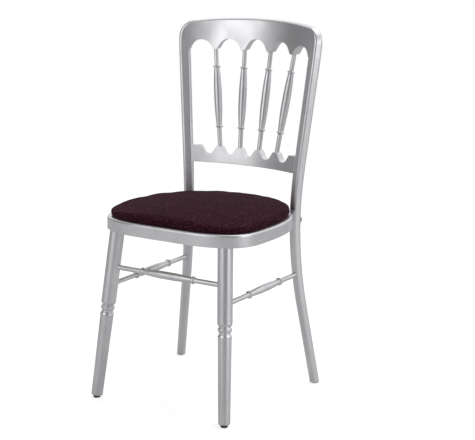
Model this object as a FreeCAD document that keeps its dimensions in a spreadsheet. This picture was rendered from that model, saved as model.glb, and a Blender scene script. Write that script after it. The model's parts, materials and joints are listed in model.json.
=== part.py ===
import FreeCAD, Part
import Sketcher
import math
import os

from FreeCAD import Placement, Rotation, Vector

# Spindle-backed dining chair of turned and bent beech with a lift-out seat pad.
# Millimetres, +Z up, floor at z = 0, the sitter faces -Y and +X is the sitter's left.
# The origin is on the floor under the middle of the overall box.

SIZES = {
    # Seat ring: two half superellipses that share the widest line
    "ring_half_width": 210.0,
    "ring_widest_y": -64.8,
    "ring_front_y": -209.4,
    "ring_front_power": 3.4,
    "ring_rear_power": 2.4,
    "ring_top": 445.0,
    "ring_height": 30.5,
    "ring_width": 46.0,
    "ring_lip": 14.0,
    "ring_rebate": 12.0,
    "ring_edge_round": 5.0,
    "ring_lap_length": 30.0,
    "ring_housing": 0.6,
    "ring_front_joint_y": -99.8,
    "ring_rear_joint_y": 50.2,
    # Front legs: turned, raked and splayed
    "front_foot_x": 186.0,
    "front_foot_y": -221.6,
    "leg_corner_angle": 49.3,
    "leg_edge_margin": 0.6,
    "leg_top_radius": 17.9,
    "leg_shoulder_foot": 232.0,
    "leg_shoulder_height": 8.0,
    "leg_groove_radius": 14.0,
    "leg_bead_height": 11.0,
    "leg_bead_swell": 2.9,
    "leg_groove_width": 1.8,
    "leg_cove_height": 5.0,
    "leg_lower_bead_height": 9.0,
    "leg_lower_bead_swell": 1.4,
    "leg_taper_radius": 16.2,
    "leg_foot_radius": 13.9,
    "leg_foot_round": 3.2,
    "leg_foot_clear": 5.2,
    "leg_tenon_radius": 12.0,
    "leg_tenon_length": 14.0,
    # Rear posts: one bent piece from floor to crest, turned to follow the bowed back
    "rear_foot_x": 205.4,
    "rear_foot_y": 169.2,
    "post_bend_x": 148.7,
    "post_bend_y": 130.7,
    "post_bend_z": 379.0,
    "post_bend_run": 170.0,
    "post_end_x": 196.8,
    "post_end_y": 171.7,
    "post_end_z": 900.0,
    "post_turn": 28.5,
    "post_foot_width": 22.5,
    "post_foot_depth": 22.5,
    "post_foot_round": 9.0,
    "post_top_width": 28.0,
    "post_top_depth": 23.0,
    "post_top_round": 6.0,
    "post_foot_clear": 2.6,
    "post_housing": 1.2,
    # Crest rail: bowed board with five arches between four cusps
    "crest_foot_z": 821.0,
    "crest_top_z": 901.0,
    "crest_crown": 13.0,
    "crest_corner_round": 43.0,
    "crest_edge_round": 6.0,
    "crest_arch_radius": 28.0,
    "crest_arch_drop": 2.0,
    "crest_end_arch_sink": 6.0,
    "crest_arch_slope": 60.0,
    "crest_cusp_half_width": 4.8,
    "crest_cusp_round": 5.0,
    "crest_pitch": 76.6,
    "crest_dowel_radius": 5.0,
    "crest_dowel_length": 44.0,
    # Lower back rail: bowed board with four peaks
    "rail_bottom_z": 536.4,
    "rail_peak_z": 578.2,
    "rail_thickness": 17.5,
    "rail_turn": 21.5,
    "rail_pitch": 56.2,
    "rail_peak_half_width": 7.0,
    "rail_valley_slope": 58.0,
    "rail_valley_round": 14.0,
    "rail_peak_round": 4.0,
    "rail_tenon_length": 11.0,
    "rail_tenon_thickness": 9.0,
    "rail_tenon_height": 26.0,
    # Back spindles
    "spindle_top_radius": 5.4,
    "spindle_foot_radius": 5.9,
    "spindle_upper_neck": 47.0,
    "spindle_lower_neck": 52.5,
    "spindle_bead_height": 6.0,
    "spindle_bead_swell": 3.0,
    "spindle_body_radius": 7.0,
    "spindle_body_swell": 3.0,
    "spindle_tenon": 13.0,
    # Stretchers
    "front_stretcher_z": 325.0,
    "side_stretcher_front_z": 281.0,
    "side_stretcher_rear_z": 284.0,
    "stretcher_neck_radius": 6.0,
    "stretcher_bead_from_post": 88.0,
    "stretcher_bead_from_leg": 104.0,
    "stretcher_bead_height": 7.0,
    "stretcher_bead_swell": 3.1,
    "stretcher_body_radius": 6.6,
    "stretcher_body_swell": 2.7,
    "stretcher_tenon": 4.5,
    # Seat bolts and barrel nuts
    "bolt_direction": 45.0,
    "bolt_below_top": 22.5,
    "bolt_radius": 3.0,
    "bolt_clearance": 0.3,
    "bolt_face_sink": 0.8,
    "bolt_past_nut": 4.0,
    "bolt_head_rim": 1.2,
    "bolt_head_dome": 1.6,
    "bolt_head_radius": 8.5,
    "bolt_head_height": 5.5,
    "barrel_nut_radius": 5.0,
    "barrel_nut_length": 12.0,
    "barrel_nut_inset": 24.0,
    # Glides under the feet
    "glide_radius": 8.8,
    "glide_rim": 1.5,
    "glide_nail_radius": 1.4,
    "glide_nail_length": 15.0,
    # Seat pad
    "pad_clearance": 1.5,
    "pad_board_thickness": 9.0,
    "pad_cover_thickness": 1.2,
    "pad_side_bulge": 9.2,
    "pad_side_height": 13.0,
    "pad_crown_height": 34.0,
    "pad_crown_radius": 1400.0,
    "pad_crown_y": -30.0,
    "pad_tuck_width": 22.0,
    "pad_rest_gap": 0.3,
    "tape_length": 40.0,
    "tape_width": 16.0,
    "tape_thickness": 1.0,
    "staple_crown": 10.0,
    "staple_wire": 0.9,
    "staple_leg": 6.0,
    "staple_inset": 3.0,
    # Fits
    "glue_gap": 0.05,
    "mortise_spare": 0.5,
}

doc = FreeCAD.newDocument("SpindleBackChair")
sheet = doc.addObject("Spreadsheet::Sheet", "Sizes")
for row, (alias, number) in enumerate(SIZES.items(), start=1):
    sheet.set(f"A{row}", alias)
    sheet.set(f"B{row}", str(number))
    sheet.setAlias(f"B{row}", alias)
doc.recompute()


class Term:
    """A number together with the sheet expression that gives it."""

    def __init__(self, number, text=None):
        self.number = float(number)
        self.text = text if text is not None else f"{self.number:.9f}"

    @staticmethod
    def of(value):
        return value if isinstance(value, Term) else Term(value)

    def __add__(self, other):
        other = Term.of(other)
        return Term(self.number + other.number, f"({self.text} + {other.text})")

    def __sub__(self, other):
        other = Term.of(other)
        return Term(self.number - other.number, f"({self.text} - {other.text})")

    def __mul__(self, other):
        other = Term.of(other)
        return Term(self.number * other.number, f"({self.text} * {other.text})")

    def __truediv__(self, other):
        other = Term.of(other)
        return Term(self.number / other.number, f"({self.text} / {other.text})")


def cell(alias):
    """The sheet cell as a Term, for sizes that are bound to it."""
    return Term(sheet.get(alias), f"Sizes.{alias}")


def size(alias):
    """The sheet cell as a plain number, for worked-out places and outlines."""
    return float(sheet.get(alias))


def bind(feature, name, value):
    """Bind a property to the sheet expression of a Term."""
    feature.setExpression(name, Term.of(value).text)


def origin_plane(body, role):
    """The body's own origin plane with this role."""
    for plane in body.Origin.OriginFeatures:
        if plane.Role == role:
            return plane
    raise RuntimeError(f"{body.Name} has no plane {role}")


def new_body(name):
    body = doc.addObject("PartDesign::Body", name)
    body.Label = name
    return body


def new_sketch(body, name, role, offset=None):
    """A sketch on an origin plane of its own body, moved in that plane's frame by offset."""
    sketch = body.newObject("Sketcher::SketchObject", name)
    sketch.AttachmentSupport = [(origin_plane(body, role), "")]
    sketch.MapMode = "FlatFace"
    if offset is not None:
        sketch.AttachmentOffset = offset
    return sketch


def draw_loop(sketch, edges):
    """Draw a closed loop of lines and arcs and join each end to the next start."""
    for edge in edges:
        sketch.addGeometry(edge, False)


# Arcs in a plane


def arc_between(start, start_tangent, end):
    """The point half way along the arc that leaves start along its tangent and reaches end."""
    chord = end - start
    tangent = Vector(start_tangent).normalize()
    normal = Vector(-tangent.y, tangent.x, 0)
    across = chord.dot(normal)
    if abs(across) < 1e-9:
        return start + chord * 0.5
    radius = chord.dot(chord) / (2 * across)
    centre = start + normal * radius
    middle = start + chord * 0.5 - centre
    if abs(radius) * 2 < chord.Length + 1e-6:
        middle = Vector(chord.y, -chord.x, 0) * (1 if across > 0 else -1)
    return centre + middle.normalize() * abs(radius)


def biarc(start, start_tangent, end, end_tangent):
    """Two arcs that meet smoothly and leave and reach the points along their tangents."""
    chord = end - start
    both = start_tangent + end_tangent
    spread = 2 * (1 - start_tangent.dot(end_tangent))
    reach = chord.dot(both)
    root = math.sqrt(reach * reach + spread * chord.dot(chord))
    handle = (root - reach) / spread
    joint = (start + end + (start_tangent - end_tangent) * handle) * 0.5
    first = arc_between(start, start_tangent, joint)
    second = arc_between(end, end_tangent * -1, joint)
    return [Part.Arc(start, first, joint), Part.Arc(joint, second, end)]


RING_SPANS_PER_QUARTER = 3


def ring_point(angle, half_width, front, rear):
    """A point of the seat outline and its outward normal, with angle from +X."""
    run, power = (rear, size("ring_rear_power")) if math.sin(angle) >= 0 else (
        front, size("ring_front_power"))
    across, along = math.cos(angle), math.sin(angle)
    x = math.copysign(abs(across) ** (2 / power), across)
    y = math.copysign(abs(along) ** (2 / power), along)
    normal = Vector(
        math.copysign(abs(x) ** (power - 1), x) / half_width,
        math.copysign(abs(y) ** (power - 1), y) / run, 0).normalize()
    return Vector(half_width * x, size("ring_widest_y") + run * y, 0), normal


def seat_outline(inset, z=0.0):
    """The seat outline as smooth arcs, inset from the ring's outer edge."""
    half_width = size("ring_half_width") - inset
    front = size("ring_widest_y") - size("ring_front_y") - inset
    rear = ring_rear_y() - size("ring_widest_y") - inset
    count = 4 * RING_SPANS_PER_QUARTER
    knots = [ring_point(2 * math.pi * k / count, half_width, front, rear) for k in range(count)]
    arcs = []
    for k in range(count):
        start, start_normal = knots[k]
        end, end_normal = knots[(k + 1) % count]
        start_tangent = Vector(-start_normal.y, start_normal.x, 0)
        end_tangent = Vector(-end_normal.y, end_normal.x, 0)
        arcs += biarc(start, start_tangent, end, end_tangent)
    for arc in arcs:
        arc.translate(Vector(0, 0, z))
    return arcs


def outline_wire(inset, z):
    return Part.Wire([arc.toShape() for arc in seat_outline(inset, z)])


def rounded_loop(corners):
    """Edges of a closed polygon whose corners (x, y, radius) are rounded."""
    edges = []
    count = len(corners)
    starts, ends = [], []
    for i, (x, y, radius) in enumerate(corners):
        corner = Vector(x, y, 0)
        before = (Vector(*corners[i - 1][:2], 0) - corner).normalize()
        after = (Vector(*corners[(i + 1) % count][:2], 0) - corner).normalize()
        half = before.getAngle(after) / 2
        if radius <= 0:
            starts.append(corner)
            ends.append(corner)
            continue
        tangent = radius / math.tan(half)
        first, last = corner + before * tangent, corner + after * tangent
        centre = corner + (before + after).normalize() * (radius / math.sin(half))
        middle = centre + (corner - centre).normalize() * radius
        edges.append((i, Part.Arc(first, middle, last)))
        starts.append(first)
        ends.append(last)
    arcs = dict(edges)
    loop = []
    for i in range(count):
        if i in arcs:
            loop.append(arcs[i])
        if (starts[(i + 1) % count] - ends[i]).Length > 1e-6:
            loop.append(Part.LineSegment(ends[i], starts[(i + 1) % count]))
    return loop


# Places that several pieces share


def post_point(z):
    """The rear post's centre line on the +X side: two straight runs and the bend between."""
    foot = Vector(size("rear_foot_x"), size("rear_foot_y"), 0)
    bend = Vector(size("post_bend_x"), size("post_bend_y"), size("post_bend_z"))
    end = Vector(size("post_end_x"), size("post_end_y"), size("post_end_z"))
    run = size("post_bend_run")
    lower = (foot - bend) * (1 / (bend.z - foot.z))
    upper = (end - bend) * (1 / (end.z - bend.z))
    if z <= bend.z - run:
        return bend + lower * (bend.z - z)
    if z >= bend.z + run:
        return bend + upper * (z - bend.z)
    share = (z - bend.z + run) / (2 * run)
    start, finish = bend + lower * run, bend + upper * run
    return start * (1 - share) ** 2 + bend * (2 * share * (1 - share)) + finish * share ** 2


def post_section(z):
    """Width along the board, depth and corner radius of the post's section at a height."""
    share = z / size("crest_foot_z")
    return [size(f"post_foot_{what}") + (size(f"post_top_{what}") - size(f"post_foot_{what}")) * share
            for what in ("width", "depth", "round")]


TURN = math.radians(size("post_turn"))
ALONG_BOARD = Vector(math.cos(TURN), -math.sin(TURN), 0)
THROUGH_BOARD = Vector(math.sin(TURN), math.cos(TURN), 0)
BOLT_ANGLE = math.radians(size("bolt_direction"))
BOLT_OUT = Vector(math.sin(BOLT_ANGLE), math.cos(BOLT_ANGLE), 0)


def post_reach(z, direction):
    """How far the post's rounded section reaches from its centre in a direction."""
    width, depth, corner = post_section(z)
    return ((width / 2 - corner) * abs(ALONG_BOARD.dot(direction))
            + (depth / 2 - corner) * abs(THROUGH_BOARD.dot(direction)) + corner)


def seat_plane_distance():
    """Distance from the post's centre to the flat where it is housed against the ring."""
    return post_reach(size("ring_top"), BOLT_OUT) - size("post_housing")


def ring_rear_y():
    """Back of the ring, so that its outline just reaches past the flats of the posts."""
    centre = post_point(size("ring_top") - size("ring_height") / 2)
    touch = centre - BOLT_OUT * (seat_plane_distance() - size("ring_housing"))
    power = size("ring_rear_power")
    share = (1 - (touch.x / size("ring_half_width")) ** power) ** (1 / power)
    return size("ring_widest_y") + (touch.y - size("ring_widest_y")) / share


def ring_bottom():
    return size("ring_top") - size("ring_height")


def leg_axis():
    """Foot and top of the front leg's axis on the +X side, on the floor and the ring."""
    angle = -math.radians(size("leg_corner_angle"))
    front = size("ring_widest_y") - size("ring_front_y")
    rear = ring_rear_y() - size("ring_widest_y")
    corner, normal = ring_point(angle, size("ring_half_width"), front, rear)
    top = corner - normal * (size("leg_top_radius") + size("leg_edge_margin"))
    foot = Vector(size("front_foot_x"), size("front_foot_y"), 0)
    return foot, Vector(top.x, top.y, ring_bottom())


def leg_point(z):
    foot, top = leg_axis()
    return foot + (top - foot) * (z / top.z)


class Bow:
    """A bowed board's middle surface: an arc in plan that leans back with height."""

    def __init__(self, z, turn):
        post = post_point(z)
        step = post_point(z + 1) - post
        self.level = z
        self.turn = turn
        self.radius = post.x / math.sin(turn)
        self.centre_y = post.y - self.radius * math.cos(turn)
        self.lean = step.y + step.x * math.tan(turn)

    def point(self, x, z):
        y = self.centre_y + math.sqrt(self.radius ** 2 - x ** 2) + self.lean * (z - self.level)
        return Vector(x, y, z)

    def angle(self, x):
        return math.degrees(math.asin(x / self.radius))


def mirrored(vector, side):
    return Vector(side * vector.x, vector.y, vector.z)


SIDES = {"left": 1, "right": -1}


# How far a cutter reaches past the material that it cuts
PAST = 20.0


# Turned pieces


BEAD_SHARES = (0.25, 0.75)
BODY_SHARES = (0.15, 0.35, 0.65, 0.85)
LONGEST_BEAD = 30.0


def swollen(stations):
    """Plain (height, radius) points in which each swell has become a few straight cuts."""
    points = []
    for i, (z, r, swell) in enumerate(stations):
        z, r, swell = Term.of(z), Term.of(r), Term.of(swell)
        points.append((z, r))
        if swell.number <= 0:
            continue
        rise, step = Term.of(stations[i + 1][0]) - z, Term.of(stations[i + 1][1]) - r
        shares = BEAD_SHARES if rise.number < LONGEST_BEAD else BODY_SHARES
        fullest = max(share * (1 - share) for share in shares)
        for share in shares:
            bulge = share * (1 - share) / fullest
            points.append((z + rise * share, r + step * share + swell * bulge))
    return points


def turned(name, stations, base, direction):
    """A body turned about its own Z axis, laid along a direction from a base point.

    A station is (height, radius, swell): the swell is how far the profile bulges outwards
    on its way to the next station, or 0 for a straight run.
    """
    body = new_body(name)
    sketch = new_sketch(body, f"{name}_profile", "XZ_Plane")
    profile = swollen(stations)
    points = [Vector(r.number, z.number, 0) for z, r in profile]
    corners = points + [Vector(0, points[-1].y, 0), Vector(0, points[0].y, 0)]
    count = len(points)
    for i in range(count + 2):
        sketch.addGeometry(Part.LineSegment(corners[i], corners[(i + 1) % (count + 2)]), False)
    for i in range(count + 2):
        sketch.addConstraint(Sketcher.Constraint("Coincident", i, 2, (i + 1) % (count + 2), 1))
    sketch.addConstraint(Sketcher.Constraint("PointOnObject", count, 1, -2))
    sketch.addConstraint(Sketcher.Constraint("PointOnObject", count, 2, -2))
    sketch.addConstraint(Sketcher.Constraint("Horizontal", count - 1))
    sketch.addConstraint(Sketcher.Constraint("Horizontal", count + 1))
    for i, (z, r) in enumerate(profile):
        for kind, value in (("DistanceX", r), ("DistanceY", z)):
            index = sketch.addConstraint(Sketcher.Constraint(kind, -1, 1, i, 1, value.number))
            bind(sketch, f"Constraints[{index}]", value)
    turning = body.newObject("PartDesign::Revolution", f"{name}_turning")
    turning.Profile = sketch
    turning.ReferenceAxis = (sketch, ["V_Axis"])
    turning.Angle = 360
    body.Tip = turning
    body.Placement = Placement(base, Rotation(Vector(0, 0, 1), direction))
    return body


def drill(name, radius, length, base, direction):
    """A round bore's volume from a base point along a direction."""
    bore = doc.addObject("Part::Cylinder", name)
    bind(bore, "Radius", radius)
    bind(bore, "Height", length)
    bore.Placement = Placement(base, Rotation(Vector(0, 0, 1), direction))
    return bore


def cut(name, base, tools):
    """Base less all the tools, as one boolean."""
    tool = tools[0]
    if len(tools) > 1:
        tool = doc.addObject("Part::MultiFuse", f"{name}_cutters")
        tool.Shapes = tools
    result = doc.addObject("Part::Cut", f"{name}_cut")
    result.Base = base
    result.Tool = tool
    return result


def common(name, base, tool):
    result = doc.addObject("Part::Common", f"{name}_common")
    result.Base = base
    result.Tool = tool
    return result


def fixed_shape(name, shape):
    """An object whose shape is worked out from the sheet's sizes."""
    feature = doc.addObject("Part::Feature", name)
    feature.Shape = shape
    return feature


def prism(points, base_z, height):
    """A straight prism over a plan polygon."""
    corners = [Vector(p[0], p[1], base_z) for p in points]
    wire = Part.makePolygon(corners + [corners[0]])
    return Part.Face(wire).extrude(Vector(0, 0, height))


def edges_where(shape, test):
    """Names of the edges whose middle point passes the test."""
    names = []
    for i, edge in enumerate(shape.Edges, start=1):
        if test(edge.valueAt((edge.FirstParameter + edge.LastParameter) / 2)):
            names.append(f"Edge{i}")
    return names


def round_edges(body, name, names, radius):
    base = body.Tip
    rounding = body.newObject("PartDesign::Fillet", name)
    rounding.Base = (base, names)
    bind(rounding, "Radius", radius)
    body.Tip = rounding
    doc.recompute()


NODES = {}


def keep(node, feature):
    """Register an object as a finished sub-part under its node name."""
    feature.Label = node
    NODES[node] = feature
    return feature


# Rear posts


POST_LEVELS_BELOW = 1
POST_LEVELS_BEND = 9
POST_LEVELS_ABOVE = 1


def post_levels():
    foot, top = size("post_foot_clear"), size("crest_foot_z")
    low = size("post_bend_z") - size("post_bend_run")
    high = size("post_bend_z") + size("post_bend_run")
    levels = [foot + (low - foot) * k / POST_LEVELS_BELOW for k in range(POST_LEVELS_BELOW)]
    levels += [low + (high - low) * k / POST_LEVELS_BEND for k in range(POST_LEVELS_BEND)]
    levels += [high + (top - high) * k / POST_LEVELS_ABOVE for k in range(POST_LEVELS_ABOVE + 1)]
    return levels


def rounded_rectangle(sketch, width, depth, corner):
    """A centred rectangle with round corners, bound to its three sizes."""
    w, d, r = width.number / 2, depth.number / 2, corner.number
    lines = [((-w + r, -d), (w - r, -d)), ((w, -d + r), (w, d - r)),
             ((w - r, d), (-w + r, d)), ((-w, d - r), (-w, -d + r))]
    centres = [(w - r, -d + r, -90), (w - r, d - r, 0), (-w + r, d - r, 90), (-w + r, -d + r, 180)]
    for (start, end), (x, y, angle) in zip(lines, centres):
        sketch.addGeometry(Part.LineSegment(Vector(*start, 0), Vector(*end, 0)), False)
        circle = Part.Circle(Vector(x, y, 0), Vector(0, 0, 1), r)
        first = math.radians(angle)
        sketch.addGeometry(Part.ArcOfCircle(circle, first, first + math.pi / 2), False)
    for i in range(8):
        sketch.addConstraint(Sketcher.Constraint("Tangent", i, 2, (i + 1) % 8, 1))
    for i, kind in ((0, "Horizontal"), (2, "Vertical"), (4, "Horizontal"), (6, "Vertical")):
        sketch.addConstraint(Sketcher.Constraint(kind, i))
    for i in (3, 5, 7):
        sketch.addConstraint(Sketcher.Constraint("Equal", 1, i))
    sizes = [("Radius", (1,), corner), ("DistanceY", (-1, 1, 0, 1), depth * -0.5),
             ("DistanceX", (-1, 1, 2, 1), width * 0.5), ("DistanceY", (-1, 1, 4, 1), depth * 0.5),
             ("DistanceX", (-1, 1, 6, 1), width * -0.5)]
    for kind, where, value in sizes:
        index = sketch.addConstraint(Sketcher.Constraint(kind, *where, value.number))
        bind(sketch, f"Constraints[{index}]", value)


def post_body(side_name):
    side = SIDES[side_name]
    name = f"rear_post_{side_name}_blank"
    body = new_body(name)
    sketches = []
    for k, z in enumerate(post_levels()):
        centre = mirrored(post_point(z), side)
        turn = Rotation(Vector(0, 0, 1), -side * size("post_turn"))
        sketch = new_sketch(body, f"{name}_section_{k}", "XY_Plane",
                            Placement(Vector(centre.x, centre.y, z), turn))
        share = Term(z) / cell("crest_foot_z")
        rounded_rectangle(sketch, *[
            cell(f"post_foot_{what}")
            + (cell(f"post_top_{what}") - cell(f"post_foot_{what}")) * share
            for what in ("width", "depth", "round")])
        sketches.append(sketch)
    loft = body.newObject("PartDesign::AdditiveLoft", f"{name}_loft")
    loft.Profile = sketches[0]
    loft.Sections = sketches[1:]
    loft.Ruled = True
    body.Tip = loft
    return body


# Seat ring


def ring_body():
    """The whole ring before it is parted: pad, hollow, rebate and a rounded outer top edge."""
    body = new_body("seat_ring_blank")
    base = Placement(Vector(0, 0, ring_bottom()), Rotation())
    outer = new_sketch(body, "ring_outer", "XY_Plane", base)
    draw_loop(outer, seat_outline(0))
    pad = body.newObject("PartDesign::Pad", "ring_pad")
    pad.Profile = outer
    bind(pad, "Length", cell("ring_height"))
    body.Tip = pad
    doc.recompute()
    names = edges_where(pad.Shape, lambda p: abs(p.z - size("ring_top")) < 1e-6)
    round_edges(body, "ring_edge_rounding", names, cell("ring_edge_round"))
    top = Placement(Vector(0, 0, size("ring_top")), Rotation())
    for name, inset, depth in (("ring_hollow", "ring_width", cell("ring_height") + 2),
                               ("ring_rebate_cut", "ring_lip", cell("ring_rebate"))):
        sketch = new_sketch(body, f"{name}_sketch", "XY_Plane", top)
        draw_loop(sketch, seat_outline(size(inset)))
        before = body.Shape.Volume
        pocket = body.newObject("PartDesign::Pocket", name)
        pocket.Profile = sketch
        bind(pocket, "Length", depth)
        body.Tip = pocket
        doc.recompute()
        if body.Shape.Volume >= before - 1:
            raise RuntimeError(f"{name} removed nothing")
    return body


def bolt_z():
    return size("ring_top") - size("bolt_below_top")


def bolt_line(side, distance, z):
    """A point on the seat bolt's axis, at a distance outwards from the post's centre."""
    centre = post_point(bolt_z())
    return mirrored(Vector(centre.x, centre.y, z) + BOLT_OUT * distance, side)


def outward(side):
    return mirrored(BOLT_OUT, side)


def post_seat_cutter(side_name, towards_ring):
    """A block on one side of the flat where post and ring meet, at the ring's height."""
    side = SIDES[side_name]
    reach = 3 * PAST
    block = doc.addObject("Part::Box", f"seat_flat_{side_name}_{int(towards_ring)}")
    block.Length, block.Width, block.Height = reach, reach / 2, size("ring_height")
    direction = outward(side)
    across = Vector(direction.y, -direction.x, 0)
    start = bolt_line(side, -seat_plane_distance(), ring_bottom())
    if towards_ring:
        start = start - direction * (reach / 2)
    corner = start - across * (reach / 2)
    angle = math.degrees(math.atan2(across.y, across.x))
    block.Placement = Placement(corner, Rotation(Vector(0, 0, 1), angle))
    return block


def ring_joint_level():
    return (ring_bottom() + size("ring_top") - size("ring_rebate")) / 2


def ring_sector(front, rear, z, height):
    """A slice of the seat's plan between two lines across it."""
    reach = size("ring_half_width") + PAST
    return prism([(-reach, front), (reach, front), (reach, rear), (-reach, rear)], z, height)


def ring_part_tool(node):
    """The space that one part of the ring takes, with half laps at its ends."""
    level = ring_joint_level()
    low, high = ring_bottom() - 1, size("ring_top") + 1
    lap = size("ring_lap_length") / 2
    front_joint, rear_joint = size("ring_front_joint_y"), size("ring_rear_joint_y")
    far = size("ring_half_width") * 2
    spans = {
        "seat_rail_front": ((-far, front_joint + lap), (-far, front_joint - lap)),
        "seat_rail_rear": ((rear_joint - lap, far), (rear_joint + lap, far)),
        "seat_rail_left": ((front_joint + lap, rear_joint - lap), (front_joint - lap, rear_joint + lap)),
        "seat_rail_right": ((front_joint + lap, rear_joint - lap), (front_joint - lap, rear_joint + lap)),
    }
    lower, upper = spans[node]
    shape = ring_sector(*lower, low, level - low).fuse(ring_sector(*upper, level, high - level))
    if node in ("seat_rail_left", "seat_rail_right"):
        side = SIDES[node.split("_")[-1]]
        half = Part.makeBox(far, 2 * far, high - low + 2 * PAST,
                            Vector(0 if side > 0 else -far, -far, low - PAST))
        shape = shape.common(half)
    return shape


def leg_direction(side):
    foot, top = leg_axis()
    return mirrored(top - foot, side).normalize()


def make_seat_ring():
    blank = ring_body()
    tools = []
    for name, side in SIDES.items():
        tools.append(post_seat_cutter(name, False))
        tools.append(drill(f"leg_mortise_{name}", cell("leg_tenon_radius") + cell("glue_gap"),
                           cell("leg_tenon_length") + cell("mortise_spare") + PAST,
                           mirrored(leg_axis()[1], side) - leg_direction(side) * PAST,
                           leg_direction(side)))
        tools.append(drill(f"ring_bolt_bore_{name}", cell("bolt_radius") + cell("bolt_clearance"),
                           bolt_in_ring() + PAST,
                           bolt_line(side, -seat_plane_distance() + PAST, bolt_z()),
                           outward(side) * -1))
        tools.append(drill(f"barrel_nut_bore_{name}", cell("barrel_nut_radius") + cell("glue_gap"),
                           cell("barrel_nut_length") + cell("mortise_spare") * 2 + PAST,
                           bolt_line(side, barrel_nut_distance(), ring_bottom() - PAST),
                           Vector(0, 0, 1)))
    bored = cut("seat_ring", blank, tools)
    for node in ("seat_rail_front", "seat_rail_left", "seat_rail_right", "seat_rail_rear"):
        tool = fixed_shape(f"{node}_space", ring_part_tool(node))
        keep(node, common(node, bored, tool))


def barrel_nut_distance():
    """Where the barrel nut sits on the bolt's axis, from the post's centre."""
    return -seat_plane_distance() - size("barrel_nut_inset")


def bolt_in_ring():
    return cell("barrel_nut_inset") + cell("barrel_nut_radius") + cell("bolt_past_nut")


def bolt_face():
    """Distance from the post's centre to the flat that the bolt's head bears on."""
    return post_reach(bolt_z(), BOLT_OUT) - size("bolt_face_sink")


# Seat bolts


def make_seat_bolts():
    for name, side in SIDES.items():
        length = (bolt_face() + seat_plane_distance() + size("barrel_nut_inset")
                  + size("bolt_past_nut"))
        head = cell("bolt_head_radius")
        stations = [(-length, cell("bolt_radius"), 0), (0, cell("bolt_radius"), 0), (0, head, 0),
                    (cell("bolt_head_rim"), head, cell("bolt_head_dome")),
                    (cell("bolt_head_height"), head * 0.35, 0)]
        base = bolt_line(side, bolt_face(), bolt_z())
        keep(f"seat_bolt_{name}", turned(f"seat_bolt_{name}_body", stations, base, outward(side)))
        base = bolt_line(side, barrel_nut_distance(), ring_bottom() + size("mortise_spare"))
        nut = turned(f"barrel_nut_{name}_blank",
                     [(0, cell("barrel_nut_radius"), 0),
                      (cell("barrel_nut_length"), cell("barrel_nut_radius"), 0)],
                     base, Vector(0, 0, 1))
        bore = drill(f"barrel_nut_thread_{name}", cell("bolt_radius") + cell("glue_gap"),
                     cell("barrel_nut_radius") * 4,
                     bolt_line(side, barrel_nut_distance() + 2 * size("barrel_nut_radius"),
                               bolt_z()), outward(side) * -1)
        keep(f"barrel_nut_{name}", cut(f"barrel_nut_{name}", nut, [bore]))


# Front legs


def leg_profile(length, slant):
    """Stations of the turned leg, measured along its axis from the floor."""
    shoulder = cell("leg_shoulder_foot") * slant
    over = cell("leg_top_radius") * 0.2
    bead_top = shoulder - cell("leg_groove_width")
    bead_foot = bead_top - cell("leg_bead_height")
    lower_top = bead_foot - cell("leg_cove_height")
    lower_foot = lower_top - cell("leg_lower_bead_height")
    groove = cell("leg_groove_radius")
    clear = cell("leg_foot_clear")
    foot_round = cell("leg_foot_round")
    return [
        (clear, cell("leg_foot_radius") - foot_round, foot_round * 0.29),
        (clear + foot_round, cell("leg_foot_radius"), 0),
        (lower_foot, cell("leg_taper_radius"), cell("leg_lower_bead_swell")),
        (lower_top, groove, 0),
        (bead_foot, groove, cell("leg_bead_swell")),
        (bead_top, groove, 0),
        (shoulder, groove, 1.0),
        ((cell("leg_shoulder_foot") + cell("leg_shoulder_height")) * slant, cell("leg_top_radius"), 0),
        (length + over, cell("leg_top_radius"), 0),
        (length + over, cell("leg_tenon_radius"), 0),
        (length + cell("leg_tenon_length"), cell("leg_tenon_radius"), 0),
    ]


def make_front_legs():
    foot, top = leg_axis()
    length = (top - foot).Length
    slant = length / top.z
    for name, side in SIDES.items():
        blank = turned(f"front_leg_{name}_blank", leg_profile(Term(length), Term(slant)),
                       mirrored(foot, side), leg_direction(side))
        # The leg's shoulder is cut level, so that it bears on the ring's flat underside
        reach = size("leg_top_radius") + PAST
        level = Part.makeBox(2 * reach, 2 * reach, size("ring_height"),
                             mirrored(top, side) - Vector(reach, reach, 0))
        tenon = Part.makeCylinder(size("leg_tenon_radius"), size("ring_height") + 2 * PAST,
                                  mirrored(top, side) - leg_direction(side) * PAST,
                                  leg_direction(side))
        trim = fixed_shape(f"front_leg_{name}_level", level.cut(tenon))
        tools = [trim, nail_bore(f"front_leg_{name}", mirrored(foot, side), leg_direction(side))]
        for start, end in stretcher_lines(name):
            tools.append(stretcher_bore(f"front_leg_{name}_bore", start, end - start))
        keep(f"front_leg_{name}", cut(f"front_leg_{name}", blank, tools))


# Stretchers


def stretcher_lines(side_name):
    """Axes of the stretchers that meet this side's legs, from piece centre to piece centre."""
    side = SIDES[side_name]
    front = mirrored(leg_point(size("front_stretcher_z")), side)
    across = (front, mirrored(front, -1))
    low = mirrored(leg_point(size("side_stretcher_front_z")), side)
    rear = mirrored(post_point(size("side_stretcher_rear_z")), side)
    return [across, (low, rear)]


def stretcher_bore(name, point, inward):
    """The mortise at one end of a stretcher, as deep as its tenon goes past the centre line."""
    direction = Vector(inward).normalize()
    return drill(name, cell("stretcher_neck_radius") + cell("glue_gap"), Term(3 * PAST),
                 point - direction * (size("stretcher_tenon") + size("mortise_spare")), direction)


def stretcher_profile(start, end, from_start, from_end):
    """Stations of a stretcher from one tenon to the other."""
    bead = cell("stretcher_bead_height")
    neck, body = cell("stretcher_neck_radius"), cell("stretcher_body_radius")
    first, last = from_start, Term(end) - from_end
    return [
        (start, neck, 0),
        (first - bead / 2, neck, cell("stretcher_bead_swell")),
        (first + bead / 2, body, cell("stretcher_body_swell")),
        (last - bead / 2, body, cell("stretcher_bead_swell")),
        (last + bead / 2, neck, 0),
        (end, neck, 0),
    ]


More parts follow.
